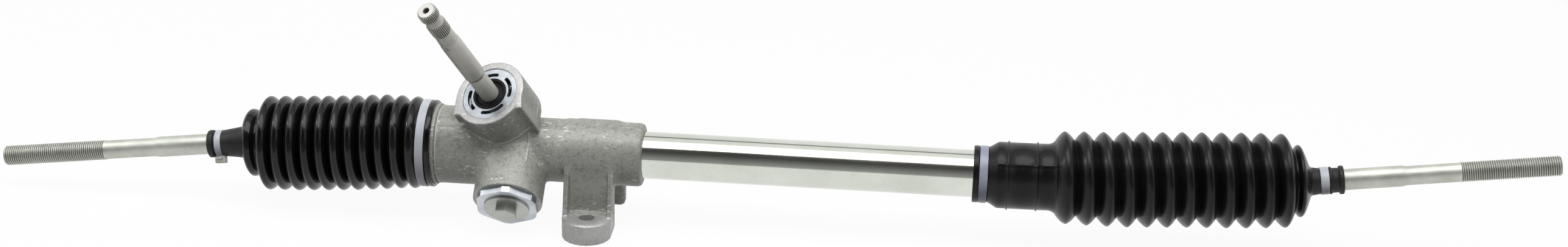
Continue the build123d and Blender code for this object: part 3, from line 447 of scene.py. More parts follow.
def bellows_tree():
    tree = NodeTree("boot_bellows")
    spine = tree.value("Spine", "Geometry")
    first, pitch, tip, side, wall = map(tree.value, ("First Crest", "Pitch", "Tip Power", "Side Power", "Wall"))
    around = tree.value("Around", "Int")
    paint = tree.value("Rubber", "Material")
    phase = tree.math("DIVIDE", tree.math("SUBTRACT", tree.attribute("station"), first), pitch)
    off_crest = tree.math("ABSOLUTE", tree.math("SUBTRACT", phase, tree.math("ROUND", phase)))
    share = tree.math("MINIMUM", tree.math("MULTIPLY", off_crest, 2.0), 1.0)
    fall = tree.math("SUBTRACT", 1.0, tree.math("POWER", share, tip))
    bulge = tree.math("POWER", tree.math("MAXIMUM", fall, 0.0), tree.math("DIVIDE", 1.0, side))
    outer = tree.math("MULTIPLY_ADD", tree.attribute("pleat_height"), bulge, tree.attribute("floor_radius"))
    wall_here = tree.math("MULTIPLY", wall, tree.attribute("wall_share"))
    inner = tree.math("SUBTRACT", outer, wall_here)
    line = tree.node("GeometryNodeMeshToCurve", {"Mesh": spine}).outputs["Curve"]
    ring = tree.node("GeometryNodeCurvePrimitiveCircle", {"Resolution": around, "Radius": 1.0}).outputs["Curve"]
    skins = []
    for radius in (outer, inner):
        inputs = {"Curve": line, "Profile Curve": ring, "Scale": radius}
        skins.append(tree.node("GeometryNodeCurveToMesh", inputs).outputs["Mesh"])
    flipped = tree.node("GeometryNodeFlipFaces", {"Mesh": skins[1]}).outputs["Mesh"]
    both = tree.node("GeometryNodeJoinGeometry")
    tree.join(skins[0], both.inputs[0])
    tree.join(flipped, both.inputs[0])
    welded = tree.node("GeometryNodeMergeByDistance", {"Geometry": both.outputs[0], "Distance": WELD})
    tree.finish(welded.outputs["Geometry"], paint)
    return tree


BELLOWS = bellows_tree()


def arc(u_from, r_from, u_to, r_to, convex, steps=8):
    """Points of a quarter ellipse between two profile points, without the first."""
    points = []
    for step in range(1, steps + 1):
        angle = math.pi / 2 * step / steps
        sine, cosine = math.sin(angle), math.cos(angle)
        if convex:
            points.append((u_from + (u_to - u_from) * sine, r_to + (r_from - r_to) * cosine))
        else:
            points.append((u_from + (u_to - u_from) * (1 - cosine), r_from + (r_to - r_from) * sine))
    return points


BOOTS = {
    "left": dict(
        ball_x=-189.2, way=-1, rise=-6.9, bend_from=-63.9, neck=58.3,
        first=-63.7, pitch=10.51, crests=11, tip=1.75, side=1.35,
        seats=(27.7, 7.3),
        yaw=[(-77, 0.0), (86, 0.0)],
        sag=[(-77, 0.0), (-63.7, -0.1), (-53, -0.3), (-42, -0.95), (-31, -1.95), (-20, -3.0), (-10, -3.75),
             (0, -4.45), (21, -5.75), (41.4, -6.75), (53.5, -7.2), (62, -7.45), (86.2, -10.36)],
        tilt=[(-77, 0.6), (-63.7, 1.4), (-50, 3.4), (-20, 4.2), (0, 3.9), (20, 3.1), (41.4, 2.8),
              (53.5, 4.6), (62, 6.9)],
        lip=[(-78.2, 29.9), (-78.0, 30.3), (-77.5, 30.6), (-75.2, 30.6), (-74.6, 30.4),
             (-74.3, 29.45), (-67.6, 29.45)],
        pleat_start=-67.3,
        floor=[(-70, 26.6), (-58, 25.8), (0, 26.2), (41.4, 26.8), (46.655, 20.8)],
        crest=[(-63.7, 32.4), (-53, 32.9), (-42, 33.5), (-31, 33.6), (0, 33.5), (21, 33.5), (41.4, 33.2)],
        tail=[(47.2, 20.8), (48.0, 20.8), (49.1, 21.5), (50.3, 22.7), (51.8, 23.6), (53.5, 23.93)]
        + arc(53.5, 23.93, 58.3, 12.6, True, 12) + arc(58.3, 12.6, 60.6, 11.25, False, 5)
        + [(68, 10.2), (75.6, 9.25), (76.0, 9.0), (76.1, 8.2), (80.6, 8.2), (81.9, 8.25), (82.1, 9.1), (82.5, 9.6),
           (83.1, 9.8), (85.2, 9.8), (85.8, 9.6), (86.1, 9.1), (86.2, 8.5)],
        cuts=(36.145, 46.655),
        body_zones=[("housing", "rack", -65.9, 36.1), ("rack", "left_ball_seat", 37.0, 46.0),
                    ("left_ball_seat", "left_tie_rod", 47.5, 58.0)],
        rubber=LEFT_RUBBER,
    ),
    "right": dict(
        ball_x=437.1, way=1, rise=7.6, bend_from=-109.6, neck=63.3,
        first=-107.9, pitch=13.55, crests=12, tip=1.42, side=1.06,
        seats=(16.8, 7.3),
        yaw=[(-124, 0.0), (-108, 3.5), (-94, 5.0), (-67, 6.0), (41, 6.0), (52.5, 4.0), (62, 0.0)],
        sag=[(-171, 0.0), (-126, 0.35), (-108, 0.85), (-94, 1.05), (-81, 1.35), (-67, 1.85), (-54, 2.6), (-40, 3.4),
             (-27, 4.2), (-13, 4.9), (0, 5.5), (14, 6.3), (28, 7.1), (41, 7.8), (52.5, 8.2), (64, 8.55), (84, 11.11)],
        tilt=[(-171, 0.0), (-126, 1.0), (-108, 2.0), (-81, 3.0), (-40, 3.5), (0, 3.8), (28, 4.0), (41, 3.4),
              (52.5, 3.8), (64, 7.6)],
        lip=[(-170.8, 19.3), (-170.6, 19.6), (-170.1, 19.85), (-167.4, 19.9), (-166.8, 19.6), (-166.6, 18.65),
             (-160.7, 18.65), (-160.55, 19.2), (-159.9, 19.5), (-159.0, 19.9), (-154.6, 22.6), (-153.6, 23.0),
             (-152.4, 23.15), (-147.6, 23.15), (-147.3, 23.8), (-146.8, 24.15), (-146.3, 23.8), (-146.0, 23.15),
             (-127.4, 23.15), (-127.1, 23.8), (-126.6, 24.15), (-126.1, 23.8), (-125.8, 23.15), (-119.6, 23.15),
             (-117.8, 23.4), (-116.0, 24.2)],
        pleat_start=-114.655,
        floor=[(-114.6, 25.2), (-107.9, 26.0), (40.7, 25.6), (47.465, 21.8)],
        crest=[(-107.9, 32.2), (-94, 32.6), (-67, 33.0), (14, 33.0), (28, 32.8), (40.7, 32.4)],
        tail=[(48.3, 21.6), (49.3, 22.0), (50.3, 23.2), (51.4, 24.5), (52.5, 24.9), (53.4, 24.7), (54.4, 23.9),
              (55.4, 22.6), (56.5, 20.8), (57.6, 18.6), (58.8, 15.8), (60.0, 12.9), (60.8, 11.2), (61.6, 10.1),
              (62.6, 9.65), (67.4, 9.0), (67.8, 8.8), (67.9, 8.1), (73.8, 8.1), (74.0, 9.0), (74.5, 9.5),
              (75.2, 9.5), (75.8, 9.1), (76.1, 8.6), (80.4, 8.5), (80.6, 9.3), (81.0, 9.75), (81.6, 9.9),
              (83.0, 9.9), (83.6, 9.7), (83.95, 9.1), (84.0, 8.6)],
        cuts=(7.275, 34.375),
        body_zones=[("housing", "rack", -117.7, 6.9), ("rack", "right_ball_seat", 8.0, 33.0),
                    ("right_ball_seat", "right_tie_rod", 35.0, 62.5)],
        rubber=RIGHT_RUBBER,
    ),
}
BOOT_PARTS = ("bellows", "ball_pleats", "dome_and_neck")
BOOT_WALL = 1.2
BOOT_AROUND = 112
BOOT_FAR = 1000.0
RINGS_PER_PLEAT = 20
END_STEP = 0.001
YAW_LINE_Y = 12.4
NECK_MARGIN = 1.5
MOULD_LINE_ANGLE = 42.0
MOULD_LINE_RISE = 0.75
SLEEVE_MIDDLE, SLEEVE_HALF, SLEEVE_SKIN_R = -134, 22, 22.6


def boot_place(boot, u, height=0.0):
    """Where a point at station u and a height above the boot's own line lies, in millimetres."""
    share = np.clip((u - boot["bend_from"]) / (boot["neck"] - boot["bend_from"]), 0, 1)
    eased = share * share * (3 - 2 * share)
    out = u * (1 + eased * (math.cos(math.radians(boot["rise"])) - 1))
    lean = np.radians(np.interp(u, *zip(*boot["tilt"]))) * np.sign(boot["rise"])
    up = np.interp(u, *zip(*boot["sag"]))
    return boot["ball_x"] + boot["way"] * (out - height * np.sin(lean)), AXIS_Z + up + height * np.cos(lean)


def boot_spine(boot):
    """The straight line of ring stations, with the radius and the pleat height at each."""
    (first_u, first_r), (last_u, last_r) = boot["lip"][0], boot["tail"][-1]
    first_seat, last_seat = boot["seats"]
    rows = [(first_u - 2 * END_STEP, first_seat, 0.0, 0.0), (first_u - END_STEP, (first_seat + first_r) / 2, 0.0, 0.2)]
    rows += [(u, r, 0.0, 1.0) for u, r in boot["lip"]]
    floor_u, floor_r = zip(*boot["floor"])
    crest_u, crest_r = zip(*boot["crest"])
    for number in range(boot["crests"]):
        crest = boot["first"] + number * boot["pitch"]
        for step in range(RINGS_PER_PLEAT):
            swing = 2 * step / RINGS_PER_PLEAT - 1
            u = crest + boot["pitch"] / 2 * math.sin(math.pi / 2 * swing)
            if u < boot["pleat_start"]:
                continue
            low = np.interp(u, floor_u, floor_r)
            rows.append((u, low, np.interp(u, crest_u, crest_r) - low, 1.0))
    end = boot["first"] + (boot["crests"] - 0.5) * boot["pitch"]
    rows.append((end, floor_r[-1], 0.0, 1.0))
    rows += [(u, r, 0.0, 1.0) for u, r in boot["tail"]]
    rows += [(last_u + END_STEP, (last_seat + last_r) / 2, 0.0, 0.2), (last_u + 2 * END_STEP, last_seat, 0.0, 0.0)]
    table = np.array(rows)
    spine = bpy.data.meshes.new("boot_spine")
    points = [(u * MM, 0, 0) for u in table[:, 0]]
    spine.from_pydata(points, [(i, i + 1) for i in range(len(points) - 1)], [])
    layers = (("station", MM), ("floor_radius", MM), ("pleat_height", MM), ("wall_share", 1))
    for column, (name, scale) in zip(table.T, layers):
        layer = spine.attributes.new(name, "FLOAT", "POINT")
        layer.data.foreach_set("value", (column * scale).astype(np.float32))
    return spine


def raise_mould_line(points):
    """The lengthwise mould ridge on the sleeve, one column of points at the front above the middle."""
    angle = np.degrees(np.arctan2(points[:, 2], -points[:, 1]))
    step = 360 / BOOT_AROUND
    column = (np.abs(angle - MOULD_LINE_ANGLE) < step / 2) & (np.abs(points[:, 0] - SLEEVE_MIDDLE) < SLEEVE_HALF)
    outer = np.hypot(points[:, 1], points[:, 2])
    lifted = column & (outer > SLEEVE_SKIN_R)
    points[lifted, 1:] *= ((outer[lifted] + MOULD_LINE_RISE) / outer[lifted])[:, None]


def make_boot(side):
    boot = BOOTS[side]
    mesh = BELLOWS.make(
        side + "_bellows", boot_spine(boot), First_Crest=boot["first"] * MM, Pitch=boot["pitch"] * MM,
        Tip_Power=boot["tip"], Side_Power=boot["side"], Wall=BOOT_WALL * MM, Around=BOOT_AROUND,
        Rubber=boot["rubber"],
    )
    points = points_of(mesh)
    if side == "right":
        raise_mould_line(points)
    x, z = boot_place(boot, points[:, 0], points[:, 2])
    x -= (points[:, 1] - YAW_LINE_Y) * np.tan(np.radians(np.interp(points[:, 0], *zip(*boot["yaw"]))))
    placed = np.column_stack([x, points[:, 1], z]) * MM
    limits = [-BOOT_FAR, *boot["cuts"], BOOT_FAR]
    for part_name, zone, low, high in zip(BOOT_PARTS, boot["body_zones"], limits, limits[1:]):
        shape = opened(mesh)
        shape.faces.ensure_lookup_table()
        stations = [sum(points[v.index, 0] for v in f.verts) / len(f.verts) for f in shape.faces]
        outside = [f for f, u in zip(shape.faces, stations) if not low <= u < high]
        for face, u in zip(shape.faces, stations):
            face.material_index = 1 if u > boot["neck"] + NECK_MARGIN else 0
        for vertex in shape.verts:
            vertex.co = placed[vertex.index]
        if boot["way"] < 0:
            bmesh.ops.reverse_faces(shape, faces=shape.faces)
        bmesh.ops.delete(shape, geom=outside, context="FACES")
        name = f"{side}_boot_{part_name}"
        part = written(shape, name)
        piece = show(name, part, boot["rubber"])
        part.materials.append(NECK_RUBBER)
        smooth(part)
        body_a, body_b, *stations = zone
        ends = [Vector((end_x, 0, end_z)) * MM for end_x, end_z in (boot_place(boot, u) for u in stations)]
        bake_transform(piece, body_a, body_b, start=tuple(ends[0]), end=tuple(ends[1]))
    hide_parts(side + "_boot")


for boot_side in BOOTS:
    make_boot(boot_side)


# Nylon ties: a strap, its lock head and the cut end of the strap

def turned(profile, around=64, capped=True):
    """A shape about +X from (station, radius) points in millimetres, capped or closed into a ring."""
    shape = bmesh.new()
    turns = [2 * math.pi * step / around for step in range(around)]
    rings = []
    for u, r in profile:
        rings.append([shape.verts.new((u * MM, r * math.cos(a) * MM, r * math.sin(a) * MM)) for a in turns])
    for one, two in zip(rings, rings[1:] if capped else rings[1:] + rings[:1]):
        for step in range(around):
            after = (step + 1) % around
            shape.faces.new((one[step], one[after], two[after], two[step]))
    if capped:
        shape.faces.new(rings[0])
        shape.faces.new(rings[-1])
    bmesh.ops.recalc_face_normals(shape, faces=shape.faces)
    return written(shape, "turned")


def block(size, centre, axes, bevel):
    """A box with rounded edges; size and centre in millimetres along the given axes."""
    shape = bmesh.new()
    bmesh.ops.create_cube(shape, size=1.0)
    for vertex in shape.verts:
        offset = sum((axis * vertex.co[i] * size[i] for i, axis in enumerate(axes)), Vector())
        vertex.co = (centre + offset) * MM
    bmesh.ops.bevel(shape, geom=shape.edges[:], offset=bevel * MM, segments=3, profile=0.5, affect="EDGES")
    bmesh.ops.recalc_face_normals(shape, faces=shape.faces)
    return written(shape, "block")


STRAP_WALL, STRAP_SOFT, STRAP_CROWN, STRAP_AROUND = 1.1, 0.35, 0.08, 96
HEAD_DEEP, HEAD_TALL, HEAD_LIFT, HEAD_BEVEL = 5.8, 5.2, 2.1, 0.9
TAIL_TRIM, TAIL_LENGTH, TAIL_LIFT, TAIL_SIDE, TAIL_BEVEL = 0.4, 4.2, 1.6, 3.6, 0.3
BACK = Vector((0, 1, 0))
LEFT_HEAD_WAY = Vector((0, -0.42262, -0.90631))
LEFT_ROD_WAY = Vector((-0.99276, 0, -0.12014)).normalized()
RIGHT_ROD_WAY = Vector((0.99122, 0, 0.13226)).normalized()
LEFT_BALL = Vector((-189.2, 0, AXIS_Z))
RIGHT_BALL = Vector((437.1, 0, AXIS_Z))
# Name, ball and way of its line, start, width and inner radius of the strap, way and width of its head, nylon, body
TIES = [
    ("left_boot_large", LEFT_BALL, -RACK_WAY, -73.9, 5.9, 29.6, BACK, 8.0, BAND, "housing"),
    ("left_boot_small", LEFT_BALL, LEFT_ROD_WAY, 76.1, 4.5, 8.35, LEFT_HEAD_WAY, 7.6, BAND, "left_tie_rod"),
    ("right_boot_large", RIGHT_BALL, RACK_WAY, -166.6, 5.9, 18.8, BACK, 8.0, SHADED_BAND, "housing"),
    ("right_boot_small", RIGHT_BALL, RIGHT_ROD_WAY, 67.9, 5.9, 8.25, BACK, 8.0, BAND, "right_tie_rod"),
]


def make_tie(name, ball, way, start, width, inner, head_way, head_width, nylon, body):
    outer, end = inner + STRAP_WALL, start + width
    edge, rounding = outer - STRAP_SOFT, STRAP_SOFT * 0.3
    strap = turned([
        (start, inner), (start, edge), (start + rounding, outer - rounding), (start + STRAP_SOFT, outer),
        (start + width / 2, outer + STRAP_CROWN), (end - STRAP_SOFT, outer), (end - rounding, outer - rounding),
        (end, edge), (end, inner),
    ], STRAP_AROUND, capped=False)
    strap.transform(along(ball, way))
    out = (head_way - way * head_way.dot(way)).normalized()
    side_way = way.cross(out)
    axes = (way, side_way, out)
    middle = ball + way * (start + width / 2)
    head = block((head_width, HEAD_DEEP, HEAD_TALL), middle + out * (outer + HEAD_LIFT), axes, HEAD_BEVEL)
    tail_middle = middle + out * (outer + TAIL_LIFT) + side_way * TAIL_SIDE
    tail = block((width - TAIL_TRIM, TAIL_LENGTH, STRAP_WALL), tail_middle, axes, TAIL_BEVEL)
    tie = joined(name + "_tie", [strap, head, tail], nylon, 40, [nylon, TIE_HEAD, nylon])
    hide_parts(name + "_band")
    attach(tie, body)


# Rolled rod threads and shaft splines

FLANK_GAIN, FLANK_SHIFT = 1.6, -0.3
RIDGE_WELD = 3e-6


def ridge_tree(name, helical):
    """Ridges rolled on a bar along +X: a thread with its rows on the helix, or straight spline teeth."""
    tree = NodeTree(name)
    length, outside, depth, chamfer = map(tree.value, ("Length", "Outside Radius", "Depth", "Chamfer"))
    count, rows, columns = (tree.value(name, "Int") for name in ("Ridges", "Rows", "Columns"))
    paint = tree.value("Steel", "Material")
    grid = tree.node("GeometryNodeMeshGrid", {"Size X": 1.0, "Size Y": 1.0, "Vertices X": rows, "Vertices Y": columns})
    spot = tree.node("ShaderNodeSeparateXYZ", {"Vector": tree.node("GeometryNodeInputPosition").outputs[0]})
    down = tree.math("ADD", spot.outputs["X"], 0.5)
    round_share = tree.math("ADD", spot.outputs["Y"], 0.5)
    if helical:
        pitch = tree.math("DIVIDE", length, count)
        travel = tree.math("MULTIPLY", down, tree.math("ADD", length, pitch))
        shift = tree.math("MULTIPLY", tree.math("SUBTRACT", round_share, 1.0), pitch)
        raw = tree.math("ADD", travel, shift)
        turn = tree.math("DIVIDE", travel, pitch)
    else:
        raw = tree.math("MULTIPLY", down, length)
        turn = tree.math("MULTIPLY", round_share, count)
    reach = tree.math("MINIMUM", tree.math("MAXIMUM", raw, 0.0), length)
    wave = tree.math("ABSOLUTE", tree.math("SUBTRACT", tree.math("MULTIPLY", tree.math("FRACT", turn), 2.0), 1.0))
    flank = tree.math("MULTIPLY_ADD", wave, FLANK_GAIN, FLANK_SHIFT)
    groove = tree.math("MINIMUM", tree.math("MAXIMUM", flank, 0.0), 1.0)
    radius = tree.math("MULTIPLY_ADD", tree.math("MULTIPLY", groove, depth), -1.0, outside)
    near_end = tree.math("MINIMUM", reach, tree.math("SUBTRACT", length, reach))
    bevelled = tree.math("SUBTRACT", outside, tree.math("SUBTRACT", chamfer, near_end))
    limited = tree.math("MINIMUM", radius, bevelled)
    angle = tree.math("MULTIPLY", round_share, 2 * math.pi)
    across = tree.math("MULTIPLY", limited, tree.math("COSINE", angle))
    above = tree.math("MULTIPLY", limited, tree.math("SINE", angle))
    spot_new = tree.node("ShaderNodeCombineXYZ", {"X": reach, "Y": across, "Z": above}).outputs[0]
    # The groove depth is kept as the mask for painted shade in the grooves
    inputs = {"Geometry": grid.outputs["Mesh"], "Name": "groove", "Value": groove}
    marked = tree.node("GeometryNodeStoreNamedAttribute", inputs, data_type="FLOAT", domain="POINT")
    moved = tree.node("GeometryNodeSetPosition", {"Geometry": marked.outputs["Geometry"], "Position": spot_new})
    welded = tree.node("GeometryNodeMergeByDistance", {"Geometry": moved.outputs["Geometry"], "Distance": RIDGE_WELD})
    tree.finish(welded.outputs["Geometry"], paint)
    return tree


THREAD = ridge_tree("rolled_thread", True)
SPLINE = ridge_tree("rolled_spline", False)


CUT_NEAR, TIP_NEAR, RING_MARGIN = 1e-7, 1e-6, 0.01


def sliced(shape, foot, way, station, clear=False):
    """Cuts an edit mesh square to its axis at a station; clear drops what lies beyond."""
    everything = shape.verts[:] + shape.edges[:] + shape.faces[:]
    place = (foot + way * station) * MM
    return bmesh.ops.bisect_plane(
        shape, geom=everything, plane_co=place, plane_no=way, clear_outer=clear, dist=CUT_NEAR
    )["geom_cut"]


def cut_copy(node, foot, way, limit):
    """A copy of a turned node up to a station along its axis, closed there."""
    mesh = merged_copy(node)
    shape = opened(mesh)
    cut = sliced(shape, foot, way, limit, clear=True)
    bmesh.ops.holes_fill(shape, edges=[e for e in cut if isinstance(e, bmesh.types.BMEdge)], sides=0)
    return written(shape, mesh)


def mark_ring(mesh, foot, way, ring):
    """Cuts a turned mesh into narrow rings at a step and marks the step for painted shade."""
    shape = opened(mesh)
    groove_shade = shape.verts.layers.float.new("groove")
    stations, darks = zip(*ring)
    for station in stations:
        sliced(shape, foot, way, station)
    for vertex in shape.verts:
        reach = (vertex.co / MM - foot).dot(way)
        if stations[0] - RING_MARGIN < reach < stations[-1] + RING_MARGIN:
            vertex[groove_shade] = float(np.interp(reach, stations, darks))
    written(shape, mesh)


def joined(name, meshes, material, sharp_angle=35, finishes=None):
    """One piece from several meshes, all in one material or each in its own."""
    shape = bmesh.new()
    for number, mesh in enumerate(meshes):
        done = len(shape.faces)
        shape.from_mesh(mesh)
        shape.faces.ensure_lookup_table()
        for face in shape.faces[done:]:
            face.material_index = number if finishes else 0
    result = written(shape, name)
    piece = show(name, result, material)
    for other in (finishes or [material])[1:]:
        result.materials.append(other)
    smooth(result, sharp_angle)
    return piece


def closed(mesh, centre=None):
    """Fills the open ends of a ridged band, the far one round a centre hole, and turns its faces outwards."""
    shape = opened(mesh)
    rim = [e for e in shape.edges if e.is_boundary]
    if centre:
        far = max(v.co.x for v in shape.verts)
        tip = [e for e in rim if all(v.co.x > far - TIP_NEAR for v in e.verts)]
        groove_shade = shape.verts.layers.float["groove"]
        # Each ring of the centre hole gets its painted shade
        for radius, depth, dark in centre:
            grown = bmesh.ops.extrude_edge_only(shape, edges=tip)["geom"]
            tip = [e for e in grown if isinstance(e, bmesh.types.BMEdge) and e.is_boundary]
            for vertex in {v for e in tip for v in e.verts}:
                now = math.hypot(vertex.co.y, vertex.co.z)
                vertex.co = (far - depth * MM, vertex.co.y * radius * MM / now, vertex.co.z * radius * MM / now)
                vertex[groove_shade] = dark
        rim = [e for e in shape.edges if e.is_boundary]
    bmesh.ops.holes_fill(shape, edges=rim, sides=0)
    bmesh.ops.recalc_face_normals(shape, faces=shape.faces)
    return written(shape, mesh)


for tie_values in TIES:
    make_tie(*tie_values)

ROD_THREAD_START = 163.0
THREAD_OVERLAP = 0.5
THREAD_PITCH, THREAD_R, THREAD_DEPTH, THREAD_CHAMFER = 1.5, 7.0, 0.85, 1.1
FACETS_PER_RIDGE = 8
THREAD_COLUMNS, SPLINE_ROWS = 49, 23
RODS = {
    "left": (LEFT_BALL, LEFT_ROD_WAY, 74.0),
    "right": (RIGHT_BALL, RIGHT_ROD_WAY, 67.0),
}
for rod_side, (rod_foot, rod_way, thread_length) in RODS.items():
    turns = round(thread_length / THREAD_PITCH)
    shank = cut_copy(rod_side + "_tie_rod", rod_foot, rod_way, ROD_THREAD_START)
    thread = closed(THREAD.make(
        rod_side + "_thread", None, Length=(thread_length + THREAD_OVERLAP) * MM, Outside_Radius=THREAD_R * MM,
        Depth=THREAD_DEPTH * MM, Chamfer=THREAD_CHAMFER * MM, Ridges=turns,
        Rows=(turns + 1) * FACETS_PER_RIDGE + 1, Columns=THREAD_COLUMNS, Steel=ROD,
    ))
    thread.transform(along(rod_foot + rod_way * (ROD_THREAD_START - THREAD_OVERLAP), rod_way))
    rod_piece = joined(rod_side + "_rod_with_thread", [shank, thread], ROD)
    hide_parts(rod_side + "_tie_rod")
    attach(rod_piece, rod_side + "_tie_rod")

# Stations along the shaft, from the rack's line towards the tip
SPLINE_TEETH, SPLINE_R, SPLINE_DEPTH = 32, 6.75, 0.75
SHAFT_CUT = 121.0
SHAFT_NECK = ((120.6, 6.5), (121.0, 6.55), (128.0, 6.4), (128.8, 6.2))
SHAFT_GROOVE = ((139.8, 6.0), (140.6, 5.85), (141.4, 5.75), (145.2, 5.75), (146.4, 6.0))
STEP_FROM, STEP_TO, STEP_SHIFT = 68.0, 73.0, 5.0
# Stations of the dark ring at the shaft's step and the painted shade at each
STEP_RING = ((74.0, 0.0), (74.4, 0.72), (76.4, 0.66), (76.9, 0.0))
# Radius, depth and painted shade of each ring of the tip
CENTRE_HOLE = ((5.1, 0.0, 0.0), (2.5, 0.0, 0.0), (2.1, 0.5, 0.9), (2.0, 4.5, 1.0))
spline_bands = []
for band_start, band_length, chamfer, centre in ((128.4, 12.0, 0.9, None), (146.0, 7.95, 1.1, CENTRE_HOLE)):
    band = closed(SPLINE.make(
        "shaft_spline", None, Length=band_length * MM, Outside_Radius=SPLINE_R * MM, Depth=SPLINE_DEPTH * MM,
        Chamfer=chamfer * MM, Ridges=SPLINE_TEETH, Rows=SPLINE_ROWS,
        Columns=SPLINE_TEETH * FACETS_PER_RIDGE + 1, Steel=SHAFT,
    ), centre)
    band.transform(along(SHAFT_FOOT + SHAFT_WAY * band_start, SHAFT_WAY))
    spline_bands.append(band)
shaft_lower = cut_copy("pinion_shaft", SHAFT_FOOT, SHAFT_WAY, SHAFT_CUT)
for corner in shaft_lower.vertices:
    if STEP_FROM < (corner.co / MM - SHAFT_FOOT).dot(SHAFT_WAY) < STEP_TO:
        corner.co += SHAFT_WAY * STEP_SHIFT * MM
mark_ring(shaft_lower, SHAFT_FOOT, SHAFT_WAY, STEP_RING)
plain_lengths = [turned(SHAFT_NECK), turned(SHAFT_GROOVE)]
for plain_length in plain_lengths:
    plain_length.transform(along(SHAFT_FOOT, SHAFT_WAY))
shaft_piece = joined("shaft_with_splines", [shaft_lower, *plain_lengths, *spline_bands], SHAFT, 30)
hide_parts("pinion_shaft")
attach(shaft_piece, "pinion")


# Housing casting: the CAD shape with cast fillets grown into its inner corners

CAST_GRAIN = 0.7
SKIN_TRIANGLES = 190000
FIRST_SOFTEN, FILLET_STEPS, FILLET_RATE, LAST_SOFTEN = 0.5, 36, 0.8, 0.4
WEAR_BEND, WEAR_START, WEAR_SHARE = 0.16, 0.25, 0.8
MACHINED_MARGIN = 0.45
# What the smoothing leaves alone: bores, and a margin at machined faces
TOWER_BORE_R, BOSS_BORE_R, RACK_BORE_R, FACE_MARGIN = 21.3, 16.4, 17.0, 0.6
# Heights of the cast lines: ear edge, drum parting line, groove behind the drum rim, arc under the tower head
EAR_RISE, DRUM_RISE, RIM_RISE, ARC_RISE = 0.5, 0.25, -1.2, 0.4
BAND_R, PAD_LEFT, PAD_SHARE, PAD_RAMP = 22.9, -12.0, 0.45, 1.2
REAR_FOOT_HALF, REAR_FOOT_FRONT, REAR_FOOT_ROUND = 18.75, 22.5, 8.0
DRUM_RIM = ((-111.6, 26.4), (-111.6, 28.2), (-111.5, 28.4), (-111.3, 28.5), (-109.0, 28.5), (-108.75, 28.4),
            (-108.65, 28.2), (-108.6, 27.6), (-108.6, 26.0))
DRUM_RIM_AROUND = 144


